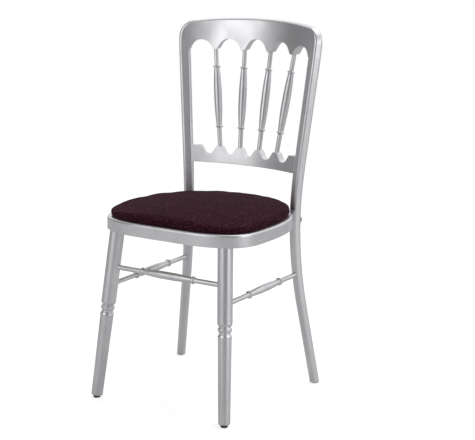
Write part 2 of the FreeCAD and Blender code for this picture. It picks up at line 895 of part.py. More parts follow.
def make_stretchers():
    lines = {"front_stretcher": stretcher_lines("right")[0]}
    for name in SIDES:
        lines[f"side_stretcher_{name}"] = stretcher_lines(name)[1]
    for node, (start, end) in lines.items():
        direction = (end - start).normalize()
        tenon = size("stretcher_tenon")
        length = (end - start).Length
        near = cell("stretcher_bead_from_post" if node == "front_stretcher"
                    else "stretcher_bead_from_leg")
        stations = stretcher_profile(-tenon, length + tenon, near,
                                     cell("stretcher_bead_from_post") + tenon)
        keep(node, turned(f"{node}_body", stations, start, direction))


# Glides


def nail_bore(name, foot, direction):
    reach = cell("glide_nail_length") + cell("leg_foot_clear") + cell("mortise_spare") * 2
    return drill(f"{name}_nail_bore", cell("glide_nail_radius") + cell("glue_gap"), reach,
                 foot, direction)


def glide_stations(clear):
    """A dished glide with its nail, measured from the floor."""
    return [
        (-4, cell("glide_radius") - cell("glide_rim"), 0),
        (0.2, cell("glide_radius") - cell("glide_rim"), cell("glide_rim") * 0.3),
        (cell("glide_rim") + 0.2, cell("glide_radius"), 0),
        (clear, cell("glide_radius"), 0),
        (clear, cell("glide_nail_radius"), 0),
        (cell("leg_foot_clear") + cell("glide_nail_length"), cell("glide_nail_radius"), 0),
    ]


def make_glides():
    reach = 2 * PAST
    for name, side in SIDES.items():
        places = {
            f"glide_front_{name}": (mirrored(leg_axis()[0], side), leg_direction(side),
                                    cell("leg_foot_clear")),
            f"glide_rear_{name}": (mirrored(post_point(0), side), Vector(0, 0, 1),
                                   cell("post_foot_clear")),
        }
        for node, (foot, direction, clear) in places.items():
            blank = turned(f"{node}_blank", glide_stations(clear), foot, direction)
            floor = doc.addObject("Part::Box", f"{node}_floor")
            floor.Length, floor.Width, floor.Height = reach, reach, reach
            floor.Placement = Placement(foot - Vector(reach / 2, reach / 2, reach), Rotation())
            keep(node, cut(node, blank, [floor]))


# Bowed boards of the back


CREST_BOW = Bow(size("crest_foot_z"), TURN)
RAIL_BOW = Bow((size("rail_bottom_z") + size("rail_peak_z")) / 2, math.radians(size("rail_turn")))


def bowed_band(bow, thickness, end_run):
    """Plan of a bowed board: an arc band between the posts, with straight ends."""
    edges = []
    ends = []
    for offset in (-thickness / 2, thickness / 2):
        radius = bow.radius + offset
        points = [Vector(radius * math.sin(a), bow.centre_y + radius * math.cos(a), 0)
                  for a in (-bow.turn, 0, bow.turn)]
        edges.append(Part.Arc(*points))
        tips = [points[0] + mirrored(ALONG_BOARD, -1) * end_run, points[2] + ALONG_BOARD * end_run]
        if end_run > 0:
            edges.append(Part.LineSegment(tips[0], points[0]))
            edges.append(Part.LineSegment(points[2], tips[1]))
        ends.append(tips)
    edges.append(Part.LineSegment(ends[0][0], ends[1][0]))
    edges.append(Part.LineSegment(ends[0][1], ends[1][1]))
    return edges


def board_blank(name, bow, z, height, thickness, end_run):
    """A leaning bowed board before its edges are shaped."""
    body = new_body(name)
    shift = Vector(0, bow.lean * (z - bow.level), z)
    sketch = new_sketch(body, f"{name}_plan", "XY_Plane", Placement(shift, Rotation()))
    draw_loop(sketch, bowed_band(bow, thickness, end_run))
    pad = body.newObject("PartDesign::Pad", f"{name}_board")
    pad.Profile = sketch
    pad.UseCustomVector = True
    pad.Direction = Vector(0, bow.lean, 1)
    pad.AlongSketchNormal = True
    bind(pad, "Length", height)
    body.Tip = pad
    doc.recompute()
    return body


def square_to_board(body, name, angle, loop):
    """Cut a loop right through the board, square to its face at an angle round the bow."""
    offset = Placement(Vector(), Rotation(Vector(0, 1, 0), -angle))
    sketch = new_sketch(body, f"{name}_sketch", "XZ_Plane", offset)
    draw_loop(sketch, loop)
    before = body.Tip.Shape.Volume
    pocket = body.newObject("PartDesign::Pocket", name)
    pocket.Profile = sketch
    pocket.Type = "ThroughAll"
    body.Tip = pocket
    doc.recompute()
    if not before - pocket.Shape.Volume > 1:
        pocket.Reversed = True
        doc.recompute()
    if not before - pocket.Shape.Volume > 1:
        raise RuntimeError(f"{name} removed nothing")


def place_on_face(point, angle):
    """How far a point lies along the board, in the cutting sketch turned by an angle."""
    turn = math.radians(angle)
    return point.x * math.cos(turn) - point.y * math.sin(turn)


SKETCH_MARGIN = 12.0
TENON_ROOT = 4.0


def arch_loop(centre, half_opening, radius):
    """One arch of the crest between two cusps: sloping sides under a round head."""
    foot = size("crest_foot_z")
    slope = math.tan(math.radians(size("crest_arch_slope")))
    rounding = size("crest_cusp_round")
    out = rounding * math.tan(math.atan(slope) / 2)
    left, right = centre - half_opening, centre + half_opening
    return rounded_loop([
        (left - out, foot, 0), (left, foot, rounding), (centre, foot + half_opening * slope, radius),
        (right, foot, rounding), (right + out, foot, 0),
        (right + out, foot - SKETCH_MARGIN, 0), (left - out, foot - SKETCH_MARGIN, 0)])


def end_arch_loop(cusp_side, post_side, sign):
    """The arch beside a post, whose head runs down into the post's inner side."""
    foot = size("crest_foot_z")
    slope = math.radians(size("crest_arch_slope"))
    height = abs(post_side - cusp_side) * math.tan(slope)
    radius = (height + size("crest_end_arch_sink")) * math.tan((math.pi / 2 - slope) / 2)
    out = sign * size("crest_cusp_round") * math.tan(slope / 2)
    return rounded_loop([
        (cusp_side - out, foot, 0), (cusp_side, foot, size("crest_cusp_round")),
        (post_side, foot + height, radius), (post_side, foot - SKETCH_MARGIN, 0),
        (cusp_side - out, foot - SKETCH_MARGIN, 0)])


def crown_loop(end, sign):
    """Half of the crest's top edge: level at the middle, rounded into the end at the corner."""
    top, radius = size("crest_top_z"), size("crest_corner_round")
    foot, high = size("crest_foot_z") - SKETCH_MARGIN, top + SKETCH_MARGIN
    angle = sign * size("post_turn")
    place = place_on_face(end, angle)
    middle = place_on_face(CREST_BOW.point(0, top), angle)
    turn_in = place - sign * radius
    drop = size("crest_crown") * (1 - radius * math.cos(TURN) / abs(end.x)) ** 2
    run = abs(turn_in - middle)
    bend = (run ** 2 + drop ** 2) / (2 * drop)
    slope = run / (bend - drop)
    joint = Vector(turn_in, top - drop, 0)
    half = run / 2
    rise = top - bend + math.sqrt(bend ** 2 - half ** 2)
    corner = rounded_loop([
        (place, foot, 0), (place, joint.y - slope * radius, radius * 0.93), (joint.x, joint.y, 0)])
    crown = Part.Arc(joint, Vector(middle + sign * half, rise, 0), Vector(middle, top, 0))
    past = middle - sign * SKETCH_MARGIN
    out = place + sign * SKETCH_MARGIN
    points = [Vector(middle, top, 0), Vector(past, top, 0), Vector(past, high, 0),
              Vector(out, high, 0), Vector(out, foot, 0), Vector(place, foot, 0)]
    return corner[:-1] + [crown] + [Part.LineSegment(points[i], points[i + 1]) for i in range(5)]


def off_faces(bow, point):
    """How far a point is from the board's middle surface, and how far along past the bow."""
    lean = bow.lean * (point.z - bow.level)
    end = post_point(bow.level)
    past = Vector(abs(point.x) - end.x, point.y - lean - end.y, 0)
    if past.dot(ALONG_BOARD) > 0:
        return abs(past.dot(THROUGH_BOARD)), past.dot(ALONG_BOARD)
    return abs(math.hypot(point.x, point.y - bow.centre_y - lean) - bow.radius), 0


def crest_body():
    name = "crest_rail_blank"
    foot = size("crest_foot_z")
    width, depth, _ = post_section(foot)
    body = board_blank(name, CREST_BOW, foot, cell("crest_top_z") - cell("crest_foot_z"),
                       depth, width / 2 + 2)
    for label, sign in SIDES.items():
        end = mirrored(post_point(foot) + ALONG_BOARD * (width / 2), sign)
        square_to_board(body, f"crest_crown_{label}", sign * size("post_turn"),
                        crown_loop(end, sign))

    def on_top_or_end(point):
        from_middle, past = off_faces(CREST_BOW, point)
        return point.z > foot + 1 and abs(from_middle - depth / 2) < 0.2 and (
            point.z > size("crest_top_z") - 25 or past > width / 2 - 0.5)

    round_edges(body, "crest_edges", edges_where(body.Tip.Shape, on_top_or_end),
                cell("crest_edge_round"))
    pitch = size("crest_pitch")
    half_opening = pitch / 2 - size("crest_cusp_half_width")
    for k in (-1, 0, 1):
        point = CREST_BOW.point(k * pitch, foot)
        angle = CREST_BOW.angle(k * pitch)
        radius = size("crest_arch_radius") + abs(k) * size("crest_arch_drop")
        square_to_board(body, f"crest_arch_{k + 1}", angle,
                        arch_loop(place_on_face(point, angle), half_opening, radius))
    for label, sign in SIDES.items():
        angle = sign * CREST_BOW.angle(2 * pitch)
        cusp = CREST_BOW.point(sign * (1.5 * pitch + size("crest_cusp_half_width")), foot)
        post = mirrored(post_point(foot) - ALONG_BOARD * (width / 2), sign)
        square_to_board(body, f"crest_end_arch_{label}", angle,
                        end_arch_loop(place_on_face(cusp, angle), place_on_face(post, angle), sign))
    return body


def rail_body():
    name = "lower_back_rail_blank"
    bottom, peak = size("rail_bottom_z"), size("rail_peak_z")
    body = board_blank(name, RAIL_BOW, bottom, cell("rail_peak_z") - cell("rail_bottom_z"),
                       size("rail_thickness"), 0)
    pitch = size("rail_pitch")
    half = pitch / 2 - size("rail_peak_half_width")
    slope = math.tan(math.radians(size("rail_valley_slope")))
    out = size("rail_peak_half_width") * 0.5
    for k in range(-2, 3):
        angle = RAIL_BOW.angle(k * pitch)
        centre = place_on_face(RAIL_BOW.point(k * pitch, peak), angle)
        above = peak + SKETCH_MARGIN
        loop = rounded_loop([
            (centre - half - out, peak, 0), (centre - half, peak, size("rail_peak_round")),
            (centre, peak - half * slope, size("rail_valley_round")),
            (centre + half, peak, size("rail_peak_round")), (centre + half + out, peak, 0),
            (centre + half + out, above, 0), (centre - half - out, above, 0)])
        square_to_board(body, f"rail_valley_{k + 2}", angle, loop)
    return body


def tenon_block(name, side, grow):
    """The rail's tenon in a post, or its mortise when grown by the glue gap."""
    centre = mirrored(post_point(RAIL_BOW.level), side)
    width = post_section(RAIL_BOW.level)[0]
    block = doc.addObject("Part::Box", name)
    for what, alias in (("Length", "length"), ("Width", "thickness"), ("Height", "height")):
        extra = TENON_ROOT if what == "Length" else 0
        bind(block, what, cell(f"rail_tenon_{alias}") + extra + 2 * grow)
    doc.recompute()
    along = mirrored(ALONG_BOARD, side)
    rotation = Rotation(Vector(0, 0, 1), math.degrees(math.atan2(along.y, along.x)))
    corner = Vector(-TENON_ROOT - grow, -block.Width.Value / 2, -block.Height.Value / 2)
    root = centre - along * (width / 2)
    block.Placement = Placement(root + rotation.multVec(corner), rotation)
    return block


def spindle_places():
    places = []
    for k in range(4):
        share = k - 1.5
        foot = RAIL_BOW.point(share * size("rail_pitch"), size("rail_peak_z"))
        top = CREST_BOW.point(share * size("crest_pitch"), size("crest_foot_z"))
        places.append((foot, top))
    return places


def spindle_stations(length):
    tenon = cell("spindle_tenon")
    bead, swell = cell("spindle_bead_height"), cell("spindle_bead_swell")
    low, high = cell("spindle_lower_neck"), Term(length) - cell("spindle_upper_neck")
    body, foot, top = (cell(f"spindle_{what}_radius") for what in ("body", "foot", "top"))
    return [
        (tenon * -1, foot, 0),
        (low - bead, foot, swell),
        (low, body, cell("spindle_body_swell")),
        (high, body, swell),
        (high + bead, top, 0),
        (Term(length) + tenon, top, 0),
    ]


def make_back():
    crest, rail = crest_body(), rail_body()
    posts = {name: post_body(name) for name in SIDES}
    crest_tools, rail_tools = [], []
    for k, (foot, top) in enumerate(spindle_places(), start=1):
        direction = (top - foot).normalize()
        spindle = turned(f"back_spindle_{k}_body", spindle_stations((top - foot).Length),
                         foot, direction)
        keep(f"back_spindle_{k}", spindle)
        depth = cell("spindle_tenon") + cell("mortise_spare") + PAST
        crest_tools.append(drill(f"crest_spindle_bore_{k}", cell("spindle_top_radius")
                                 + cell("glue_gap"), depth, top - direction * PAST, direction))
        rail_tools.append(drill(f"rail_spindle_bore_{k}", cell("spindle_foot_radius")
                                + cell("glue_gap"), depth, foot + direction * PAST,
                                direction * -1))
    joint = size("crest_foot_z")
    for name, side in SIDES.items():
        centre = mirrored(post_point(joint), side)
        direction = mirrored(post_point(joint) - post_point(joint - PAST), side).normalize()
        half = size("crest_dowel_length") / 2
        dowel = turned(f"crest_dowel_{name}_body",
                       [(half * -1, cell("crest_dowel_radius"), 0),
                        (half, cell("crest_dowel_radius"), 0)], centre, direction)
        keep(f"crest_dowel_{name}", dowel)
        spare = size("mortise_spare")
        bores = [drill(f"crest_dowel_bore_{name}_{k}", cell("crest_dowel_radius") + cell("glue_gap"),
                       cell("crest_dowel_length") + cell("mortise_spare") * 2,
                       centre - direction * (half + spare), direction)
                 for k in range(2)]
        crest_tools.append(bores[0])
        tools = [bores[1], tenon_block(f"rail_mortise_{name}", side, size("glue_gap")),
                 post_seat_cutter(name, True),
                 drill(f"post_bolt_bore_{name}", cell("bolt_radius") + cell("bolt_clearance"),
                       Term(4 * PAST), bolt_line(side, -2 * PAST, bolt_z()), outward(side)),
                 drill(f"post_bolt_face_{name}", cell("bolt_head_radius") + 1, PAST,
                       bolt_line(side, bolt_face(), bolt_z()), outward(side)),
                 nail_bore(f"rear_post_{name}", mirrored(post_point(0), side), Vector(0, 0, 1))]
        start, end = stretcher_lines(name)[1]
        tools.append(stretcher_bore(f"rear_post_{name}_stretcher_bore", end, start - end))
        keep(f"rear_post_{name}", cut(f"rear_post_{name}", posts[name], tools))
    keep("crest_rail", cut("crest_rail", crest, crest_tools))
    shouldered = cut("lower_back_rail_shoulders", rail, list(posts.values()))
    fused = doc.addObject("Part::MultiFuse", "lower_back_rail_tenoned")
    fused.Shapes = [shouldered] + [tenon_block(f"rail_tenon_{name}", side, 0)
                                   for name, side in SIDES.items()]
    keep("lower_back_rail", cut("lower_back_rail", fused, rail_tools))


# Seat pad


def ledge_z():
    return size("ring_top") - size("ring_rebate")


def hem_z():
    """Underside of the cover's hem, which rests on the tapes."""
    return ledge_z() + 2 * size("tape_thickness") + size("pad_rest_gap")


def pad_inset():
    return size("ring_lip") + size("pad_clearance")


def pad_form(skin):
    """The pad's outer form less a skin: straight in the rebate, bulged sides, low crown."""
    base, top = hem_z() + skin, size("ring_top")
    neck, bulge, side = pad_inset() + skin, size("pad_side_bulge"), size("pad_side_height")
    sections = [(neck, base), (neck, top), (neck - bulge * 0.8, top + side * 0.5),
                (neck - bulge, top + side), (neck - bulge * 0.4, top + side * 1.5 - skin),
                (neck + bulge, top + side * 2 - skin),
                (neck + bulge * 3.2, top + size("pad_crown_height") - skin)]
    block = Part.makeLoft([outline_wire(inset, z) for inset, z in sections], True, True)
    radius = size("pad_crown_radius")
    centre = Vector(0, size("pad_crown_y"), top + size("pad_crown_height") - skin - radius)
    return block.common(Part.makeSphere(radius, centre))


def ring_marks(count, phase=0.0):
    """Evenly turned points round the seat outline with their outward normals."""
    front = size("ring_widest_y") - size("ring_front_y")
    rear = ring_rear_y() - size("ring_widest_y")
    return [ring_point(math.radians(phase + 360 * k / count), size("ring_half_width"), front, rear)
            for k in range(count)]


def tape_strips(z):
    """Strips of touch tape along the ledge, one on each side of the seat."""
    strips = []
    inset = size("ring_lip") + size("ring_width") / 2 - size("ring_lip") / 2
    for point, normal in ring_marks(4):
        centre = point - normal * inset
        angle = math.degrees(math.atan2(normal.y, normal.x))
        strip = Part.makeBox(size("tape_width"), size("tape_length"), size("tape_thickness"),
                             Vector(-size("tape_width") / 2, -size("tape_length") / 2, 0))
        strip.Placement = Placement(Vector(centre.x, centre.y, z), Rotation(Vector(0, 0, 1), angle))
        strips.append(strip)
    return Part.makeCompound(strips)


STAPLES = 24


def staples():
    wire, crown, leg = size("staple_wire"), size("staple_crown"), size("staple_leg")
    shapes = []
    inset = pad_inset() + size("staple_inset")
    for point, normal in ring_marks(STAPLES, 180 / STAPLES):
        centre = point - normal * inset
        angle = math.degrees(math.atan2(normal.y, normal.x)) - 90
        bar = Part.makeBox(crown, wire, wire, Vector(-crown / 2, -wire / 2, -wire))
        legs = [Part.makeBox(wire, wire, leg, Vector(x, -wire / 2, -wire / 2))
                for x in (-crown / 2, crown / 2 - wire)]
        staple = bar.fuse(legs).removeSplitter()
        staple.Placement = Placement(Vector(centre.x, centre.y, hem_z()),
                                     Rotation(Vector(0, 0, 1), angle))
        shapes.append(staple)
    return Part.makeCompound(shapes)


def make_pad():
    skin = size("pad_cover_thickness")
    board_foot = hem_z() + skin
    board_top = board_foot + size("pad_board_thickness")
    outer, inner = pad_form(0), pad_form(skin)
    slab = Part.Face(outline_wire(0, board_top)).extrude(
        Vector(0, 0, size("pad_crown_height") + PAST))
    wires = staples()
    board = Part.Face(outline_wire(pad_inset() + skin, board_foot)).extrude(
        Vector(0, 0, size("pad_board_thickness")))
    opening = Part.Face(outline_wire(pad_inset() + size("pad_tuck_width"), hem_z() - 1)).extrude(
        Vector(0, 0, skin + 1.5))
    cover = outer.cut(inner).cut(opening).cut(wires)
    shapes = {
        "pad_cover": cover,
        "pad_foam": inner.common(slab),
        "pad_board": board.cut(wires),
        "pad_staples": wires,
        "pad_hook_tapes": tape_strips(hem_z() - size("tape_thickness")),
        "ring_loop_tapes": tape_strips(ledge_z()),
    }
    for node, shape in shapes.items():
        keep(node, fixed_shape(f"{node}_solid", shape))


make_seat_ring()
make_front_legs()
make_stretchers()
make_back()
make_seat_bolts()
make_glides()
make_pad()
doc.recompute()

failed = [f"{o.Label} {o.State}" for o in doc.Objects
          if "Invalid" in o.State or "Error" in o.State]
failed += [node for node, feature in NODES.items()
           if feature.Shape.isNull() or not feature.Shape.isValid()]
if failed:
    raise RuntimeError("failed: " + ", ".join(failed))

os.makedirs("parts", exist_ok=True)
for node, feature in NODES.items():
    feature.Shape.exportStep(f"parts/{node}.step")
    box = feature.Shape.BoundBox
    print(f"{node:22s} solids {len(feature.Shape.Solids)} volume {feature.Shape.Volume:10.0f}"
          f"  x {box.XMin:7.1f} {box.XMax:7.1f}  y {box.YMin:7.1f} {box.YMax:7.1f}"
          f"  z {box.ZMin:6.1f} {box.ZMax:6.1f}")
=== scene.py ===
import json
import math

import bmesh
import bpy
import numpy as np
from bpy.props import FloatProperty, FloatVectorProperty, IntProperty, PointerProperty
from mathutils import Matrix, Vector, noise

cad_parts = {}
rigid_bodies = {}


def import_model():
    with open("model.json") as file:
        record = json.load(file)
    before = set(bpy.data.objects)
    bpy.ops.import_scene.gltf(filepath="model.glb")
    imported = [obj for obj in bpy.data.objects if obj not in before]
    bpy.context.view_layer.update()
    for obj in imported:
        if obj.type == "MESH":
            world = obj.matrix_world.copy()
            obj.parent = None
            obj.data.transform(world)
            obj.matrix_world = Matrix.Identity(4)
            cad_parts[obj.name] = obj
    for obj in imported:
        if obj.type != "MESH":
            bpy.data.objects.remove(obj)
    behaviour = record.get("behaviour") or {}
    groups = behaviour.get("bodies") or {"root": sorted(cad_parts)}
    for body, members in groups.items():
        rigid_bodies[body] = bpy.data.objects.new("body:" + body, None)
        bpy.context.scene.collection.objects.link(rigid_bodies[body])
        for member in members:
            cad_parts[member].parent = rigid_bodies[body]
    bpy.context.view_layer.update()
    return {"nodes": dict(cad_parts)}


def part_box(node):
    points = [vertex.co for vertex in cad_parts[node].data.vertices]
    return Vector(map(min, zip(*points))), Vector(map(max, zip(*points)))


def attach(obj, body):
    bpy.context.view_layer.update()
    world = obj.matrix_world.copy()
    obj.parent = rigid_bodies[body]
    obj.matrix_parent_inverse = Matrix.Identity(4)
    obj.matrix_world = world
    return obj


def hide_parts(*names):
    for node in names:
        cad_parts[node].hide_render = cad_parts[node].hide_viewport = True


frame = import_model()

bl_info = {
    "name": "Spindle-Back Chair",
    "version": (1, 0, 0),
    "blender": (4, 5, 0),
    "location": "View3D > Sidebar > Chair",
    "description": "Finishes and soft parts of a silver dining chair with a lift-out pad",
    "category": "Object",
}

MM = 0.001
WHITE = (1, 1, 1, 1)

LACQUERED_BOARDS = ("seat_rail_front", "seat_rail_left", "seat_rail_right", "seat_rail_rear",
                    "rear_post_left", "rear_post_right", "crest_rail", "lower_back_rail")
SPINDLES = ("back_spindle_1", "back_spindle_2", "back_spindle_3", "back_spindle_4")
STRETCHERS = ("front_stretcher", "side_stretcher_left", "side_stretcher_right")
FRONT_LEGS = ("front_leg_left", "front_leg_right")
GLIDES = ("glide_front_left", "glide_front_right", "glide_rear_left", "glide_rear_right")
FIXINGS = ("seat_bolt_left", "seat_bolt_right", "barrel_nut_left", "barrel_nut_right")
DOWELS = ("crest_dowel_left", "crest_dowel_right")


# Sizes and colours that a user would change


class LacquerSettings(bpy.types.PropertyGroup):
    """The silver lacquer on all the wood"""

    colour: FloatVectorProperty(
        name="Silver", description="Colour of the lacquer's metal flake", subtype="COLOR",
        size=4, min=0, max=1, default=(0.70, 0.70, 0.72, 1))
    shade: FloatVectorProperty(
        name="Shaded silver", description="Colour of the thinner patches", subtype="COLOR",
        size=4, min=0, max=1, default=(0.60, 0.59, 0.62, 1))
    metallic: FloatProperty(
        name="Metallic", description="How much the flake reflects like metal", subtype="FACTOR",
        min=0, max=1, default=0.88)
    roughness: FloatProperty(
        name="Roughness", description="Satin of the lacquer", subtype="FACTOR",
        min=0, max=1, default=0.34)
    # The same radius also sets the band of painted edge highlight in the lacquer's colour.
    edge_round: FloatProperty(
        name="Edge rounding", description="Radius that light sees on the sanded edges",
        subtype="DISTANCE", unit="LENGTH", min=0, default=1.6 * MM)


class TurningSettings(bpy.types.PropertyGroup):
    """How finely the turned pieces are cut"""

    step: FloatProperty(
        name="Cut spacing", description="Distance between rings along a turned piece",
        subtype="DISTANCE", unit="LENGTH", min=0.0002, default=0.5 * MM)
    facets: IntProperty(
        name="Facets", description="Sides of a turned piece", min=12, max=96, default=40)
    corner: FloatProperty(
        name="Corner softness", description="How far lacquer rounds a cut corner",
        subtype="DISTANCE", unit="LENGTH", min=0.0001, default=0.35 * MM)


class PadSettings(bpy.types.PropertyGroup):
    """The upholstered lift-out pad"""

    colour: FloatVectorProperty(
        name="Cloth", description="Colour of the dark yarn", subtype="COLOR",
        size=4, min=0, max=1, default=(0.023, 0.0045, 0.010, 1))
    fleck: FloatVectorProperty(
        name="Fleck", description="Colour of the flecks in the yarn", subtype="COLOR",
        size=4, min=0, max=1, default=(0.18, 0.052, 0.088, 1))
    weave_pitch: FloatProperty(
        name="Weave pitch", description="Distance between yarns",
        subtype="DISTANCE", unit="LENGTH", min=0.0003, default=1.5 * MM)
    voxel: FloatProperty(
        name="Remesh size", description="Size of the simulated cloth's cells",
        subtype="DISTANCE", unit="LENGTH", min=0.002, default=5.0 * MM)
    shrink: FloatProperty(
        name="Start lower", description="How far the top starts under its finished height",
        subtype="DISTANCE", unit="LENGTH", min=0, default=5.5 * MM)
    spread: FloatProperty(
        name="Start wider", description="How far the sides start outside, as they draw in",
        subtype="DISTANCE", unit="LENGTH", min=0, default=6.5 * MM)
    pressure: FloatProperty(
        name="Pressure", description="How hard the foam presses on the cover", min=0, default=4.0)
    cap: FloatProperty(
        name="Most swelling", description="The furthest that the cover may move",
        subtype="DISTANCE", unit="LENGTH", min=0, default=5.0 * MM)
    hem_width: FloatProperty(
        name="Hem width", description="How far the cover is turned under the board",
        subtype="DISTANCE", unit="LENGTH", min=0.005, default=22.0 * MM)


class StageSettings(bpy.types.PropertyGroup):
    """Floor and light"""

    floor_colour: FloatVectorProperty(
        name="Floor", description="Colour of the studio floor", subtype="COLOR",
        size=4, min=0, max=1, default=(0.52, 0.52, 0.52, 1))
    key_power: FloatProperty(
        name="Key light", description="Power of the main soft lamp", subtype="POWER",
        unit="POWER", min=0, default=44.0)
    fill_power: FloatProperty(
        name="Fill light", description="Power of the weaker soft lamp", subtype="POWER",
        unit="POWER", min=0, default=20.0)
    top_power: FloatProperty(
        name="Top light", description="Power of the soft lamp above", subtype="POWER",
        unit="POWER", min=0, default=18.0)
    sky: FloatProperty(
        name="Room light", description="Strength of the light from the pale side of the room",
        min=0, default=1.0)
    dim_side: FloatProperty(
        name="Dim side", description="Strength of the light from the unlit side of the room",
        min=0, default=0.12)
    whiteness: FloatProperty(
        name="Floor whiteness", description="How much the floor is lifted to white in view",
        min=0, max=1, default=0.66)


# Nodes


def new_node(tree, kind, inputs=None, **attributes):
    """A node with its settings, and with each input given as a socket or as a value."""
    made = tree.nodes.new(kind)
    for name, value in attributes.items():
        setattr(made, name, value)
    for name, value in (inputs or {}).items():
        if isinstance(value, bpy.types.NodeSocket):
            tree.links.new(value, made.inputs[name])
        else:
            made.inputs[name].default_value = value
    return made


class Shader:
    """A node material with a Principled surface and Object coordinates."""

    def __init__(self, name, **surface):
        self.material = bpy.data.materials.new(name)
        self.material.use_nodes = True
        self.tree = self.material.node_tree
        self.surface = self.tree.nodes["Principled BSDF"]
        for socket, value in surface.items():
            self.surface.inputs[socket.replace("_", " ")].default_value = value
        self.place = self.add("ShaderNodeTexCoord").outputs["Object"]

    def add(self, kind, inputs=None, **attributes):
        return new_node(self.tree, kind, inputs, **attributes)

    def noise(self, scale, detail=2.0, roughness=0.5, stretch=(1, 1, 1), distortion=0.0):
        """Noise on Object coordinates, with its coordinates stretched first."""
        mapping = self.add("ShaderNodeMapping", {"Vector": self.place, "Scale": stretch})
        return self.add("ShaderNodeTexNoise", {
            "Vector": mapping.outputs[0], "Scale": scale, "Detail": detail,
            "Roughness": roughness, "Distortion": distortion}).outputs["Fac"]

    def ramp(self, value, low, high, to_low=0.0, to_high=1.0):
        """The value spread from between low and high to between to_low and to_high."""
        return self.add("ShaderNodeMapRange", {
            "Value": value, "From Min": low, "From Max": high,
            "To Min": to_low, "To Max": to_high}).outputs["Result"]

    def mix(self, share, first, second):
        """One colour changing to another with share; a Mix node's colours are sockets 6 and 7."""
        return self.add("ShaderNodeMix", {0: share, 6: first, 7: second},
                        data_type="RGBA").outputs[2]

    def math(self, operation, first, second=0.0):
        return self.add("ShaderNodeMath", {0: first, 1: second}, operation=operation).outputs[0]

    def bump(self, height, strength, distance, normal=None):
        inputs = {"Height": height, "Strength": strength, "Distance": distance}
        if normal is not None:
            inputs["Normal"] = normal
        return self.add("ShaderNodeBump", inputs).outputs["Normal"]

    def set(self, **sockets):
        """Link these sockets to the surface."""
        for name, value in sockets.items():
            self.tree.links.new(value, self.surface.inputs[name.replace("_", " ")])


BRIGHT_FLAKE = (0.90, 0.90, 0.92, 1)
FLAKE_SHARE = 0.22
# Painted highlight: a paler silver put on the edges, where they would catch the light.
PAINTED_EDGE_HIGHLIGHT = (0.95, 0.95, 0.96, 1)
EDGE_HIGHLIGHT_SHARE = 0.75
EDGE_BEGINS, EDGE_FULL = 0.985, 0.90
SMOOTHER, ROUGHER = 0.04, 0.07


def silver_lacquer(settings):
    """Satin aluminium-coloured lacquer: soft clouds, fine flake and a painted highlight along the
    rounded edges.
    """
    shader = Shader("Silver Lacquer", Metallic=settings.metallic, Coat_Weight=0.12,
                    Coat_Roughness=0.25)
    clouds = shader.ramp(shader.noise(14, 4, 0.55, (1, 1, 0.6)), 0.35, 0.68)
    flake = shader.noise(2600, 1, 0.5)
    silver = shader.mix(clouds, tuple(settings.colour), tuple(settings.shade))
    silver = shader.mix(shader.ramp(flake, 0.3, 0.7, 0, FLAKE_SHARE), silver, BRIGHT_FLAKE)
    rounded = shader.add("ShaderNodeBevel", {"Radius": settings.edge_round}, samples=6)
    geometry = shader.add("ShaderNodeNewGeometry")
    bend = shader.add("ShaderNodeVectorMath", {0: rounded.outputs[0],
                                               1: geometry.outputs["Normal"]},
                      operation="DOT_PRODUCT").outputs["Value"]
    # Mask of the rounded edges, where the painted highlight is mixed into the colour.
    edge = shader.ramp(bend, EDGE_BEGINS, EDGE_FULL)
    silver = shader.mix(shader.math("MULTIPLY", edge, EDGE_HIGHLIGHT_SHARE), silver, PAINTED_EDGE_HIGHLIGHT)
    grain = shader.noise(60, 3, 0.6, (1, 1, 0.08))
    normal = shader.bump(grain, 0.05, 0.4 * MM, rounded.outputs[0])
    normal = shader.bump(flake, 0.06, 0.1 * MM, normal)
    rough = shader.ramp(clouds, 0, 1, settings.roughness - SMOOTHER,
                        settings.roughness + ROUGHER)
    shader.set(Base_Color=silver, Roughness=rough, Normal=normal)
    return shader.material


BEECH_LIGHT, BEECH_DARK = (0.55, 0.37, 0.20, 1), (0.36, 0.21, 0.10, 1)
BEECH_RINGS = 55
PLY_LIGHT, PLY_DARK = (0.60, 0.43, 0.25, 1), (0.43, 0.28, 0.14, 1)
PLY_RINGS = 24
PORES_FOR_EACH_RING = 12


def bare_wood(name, light, dark, rings):
    """Unfinished timber with grain along Z and darker pores; rings is the grain's scale."""
    shader = Shader(name, Roughness=0.68)
    grain = shader.noise(rings, 5, 0.6, (1, 1, 0.07), 0.4)
    pores = shader.noise(rings * PORES_FOR_EACH_RING, 2, 0.5, (1, 1, 0.03))
    colour = shader.mix(shader.ramp(grain, 0.35, 0.65), light, dark)
    colour = shader.mix(shader.ramp(pores, 0.62, 0.75, 0, 0.5), colour, dark)
    shader.set(Base_Color=colour, Normal=shader.bump(grain, 0.15, 0.3 * MM))
    return shader.material


STEEL_DULL, STEEL_BRIGHT = (0.62, 0.62, 0.63, 1), (0.76, 0.76, 0.77, 1)


def plated_steel():
    """Zinc-plated steel with a slight cloudiness and fine turning marks."""
    shader = Shader("Plated Steel", Metallic=1.0)
    clouds = shader.noise(240, 3, 0.6)
    marks = shader.noise(900, 2, 0.5, (1, 1, 0.1))
    colour = shader.mix(clouds, STEEL_DULL, STEEL_BRIGHT)
    shader.set(Base_Color=colour, Roughness=shader.ramp(clouds, 0.3, 0.7, 0.24, 0.42),
               Normal=shader.bump(marks, 0.08, 0.05 * MM))
    return shader.material


GLIDE_DARK, GLIDE_LIGHT = (0.035, 0.035, 0.038, 1), (0.060, 0.060, 0.064, 1)
SCUFFED = (0.26, 0.26, 0.26, 1)
SCUFF_HEIGHT = 2 * MM


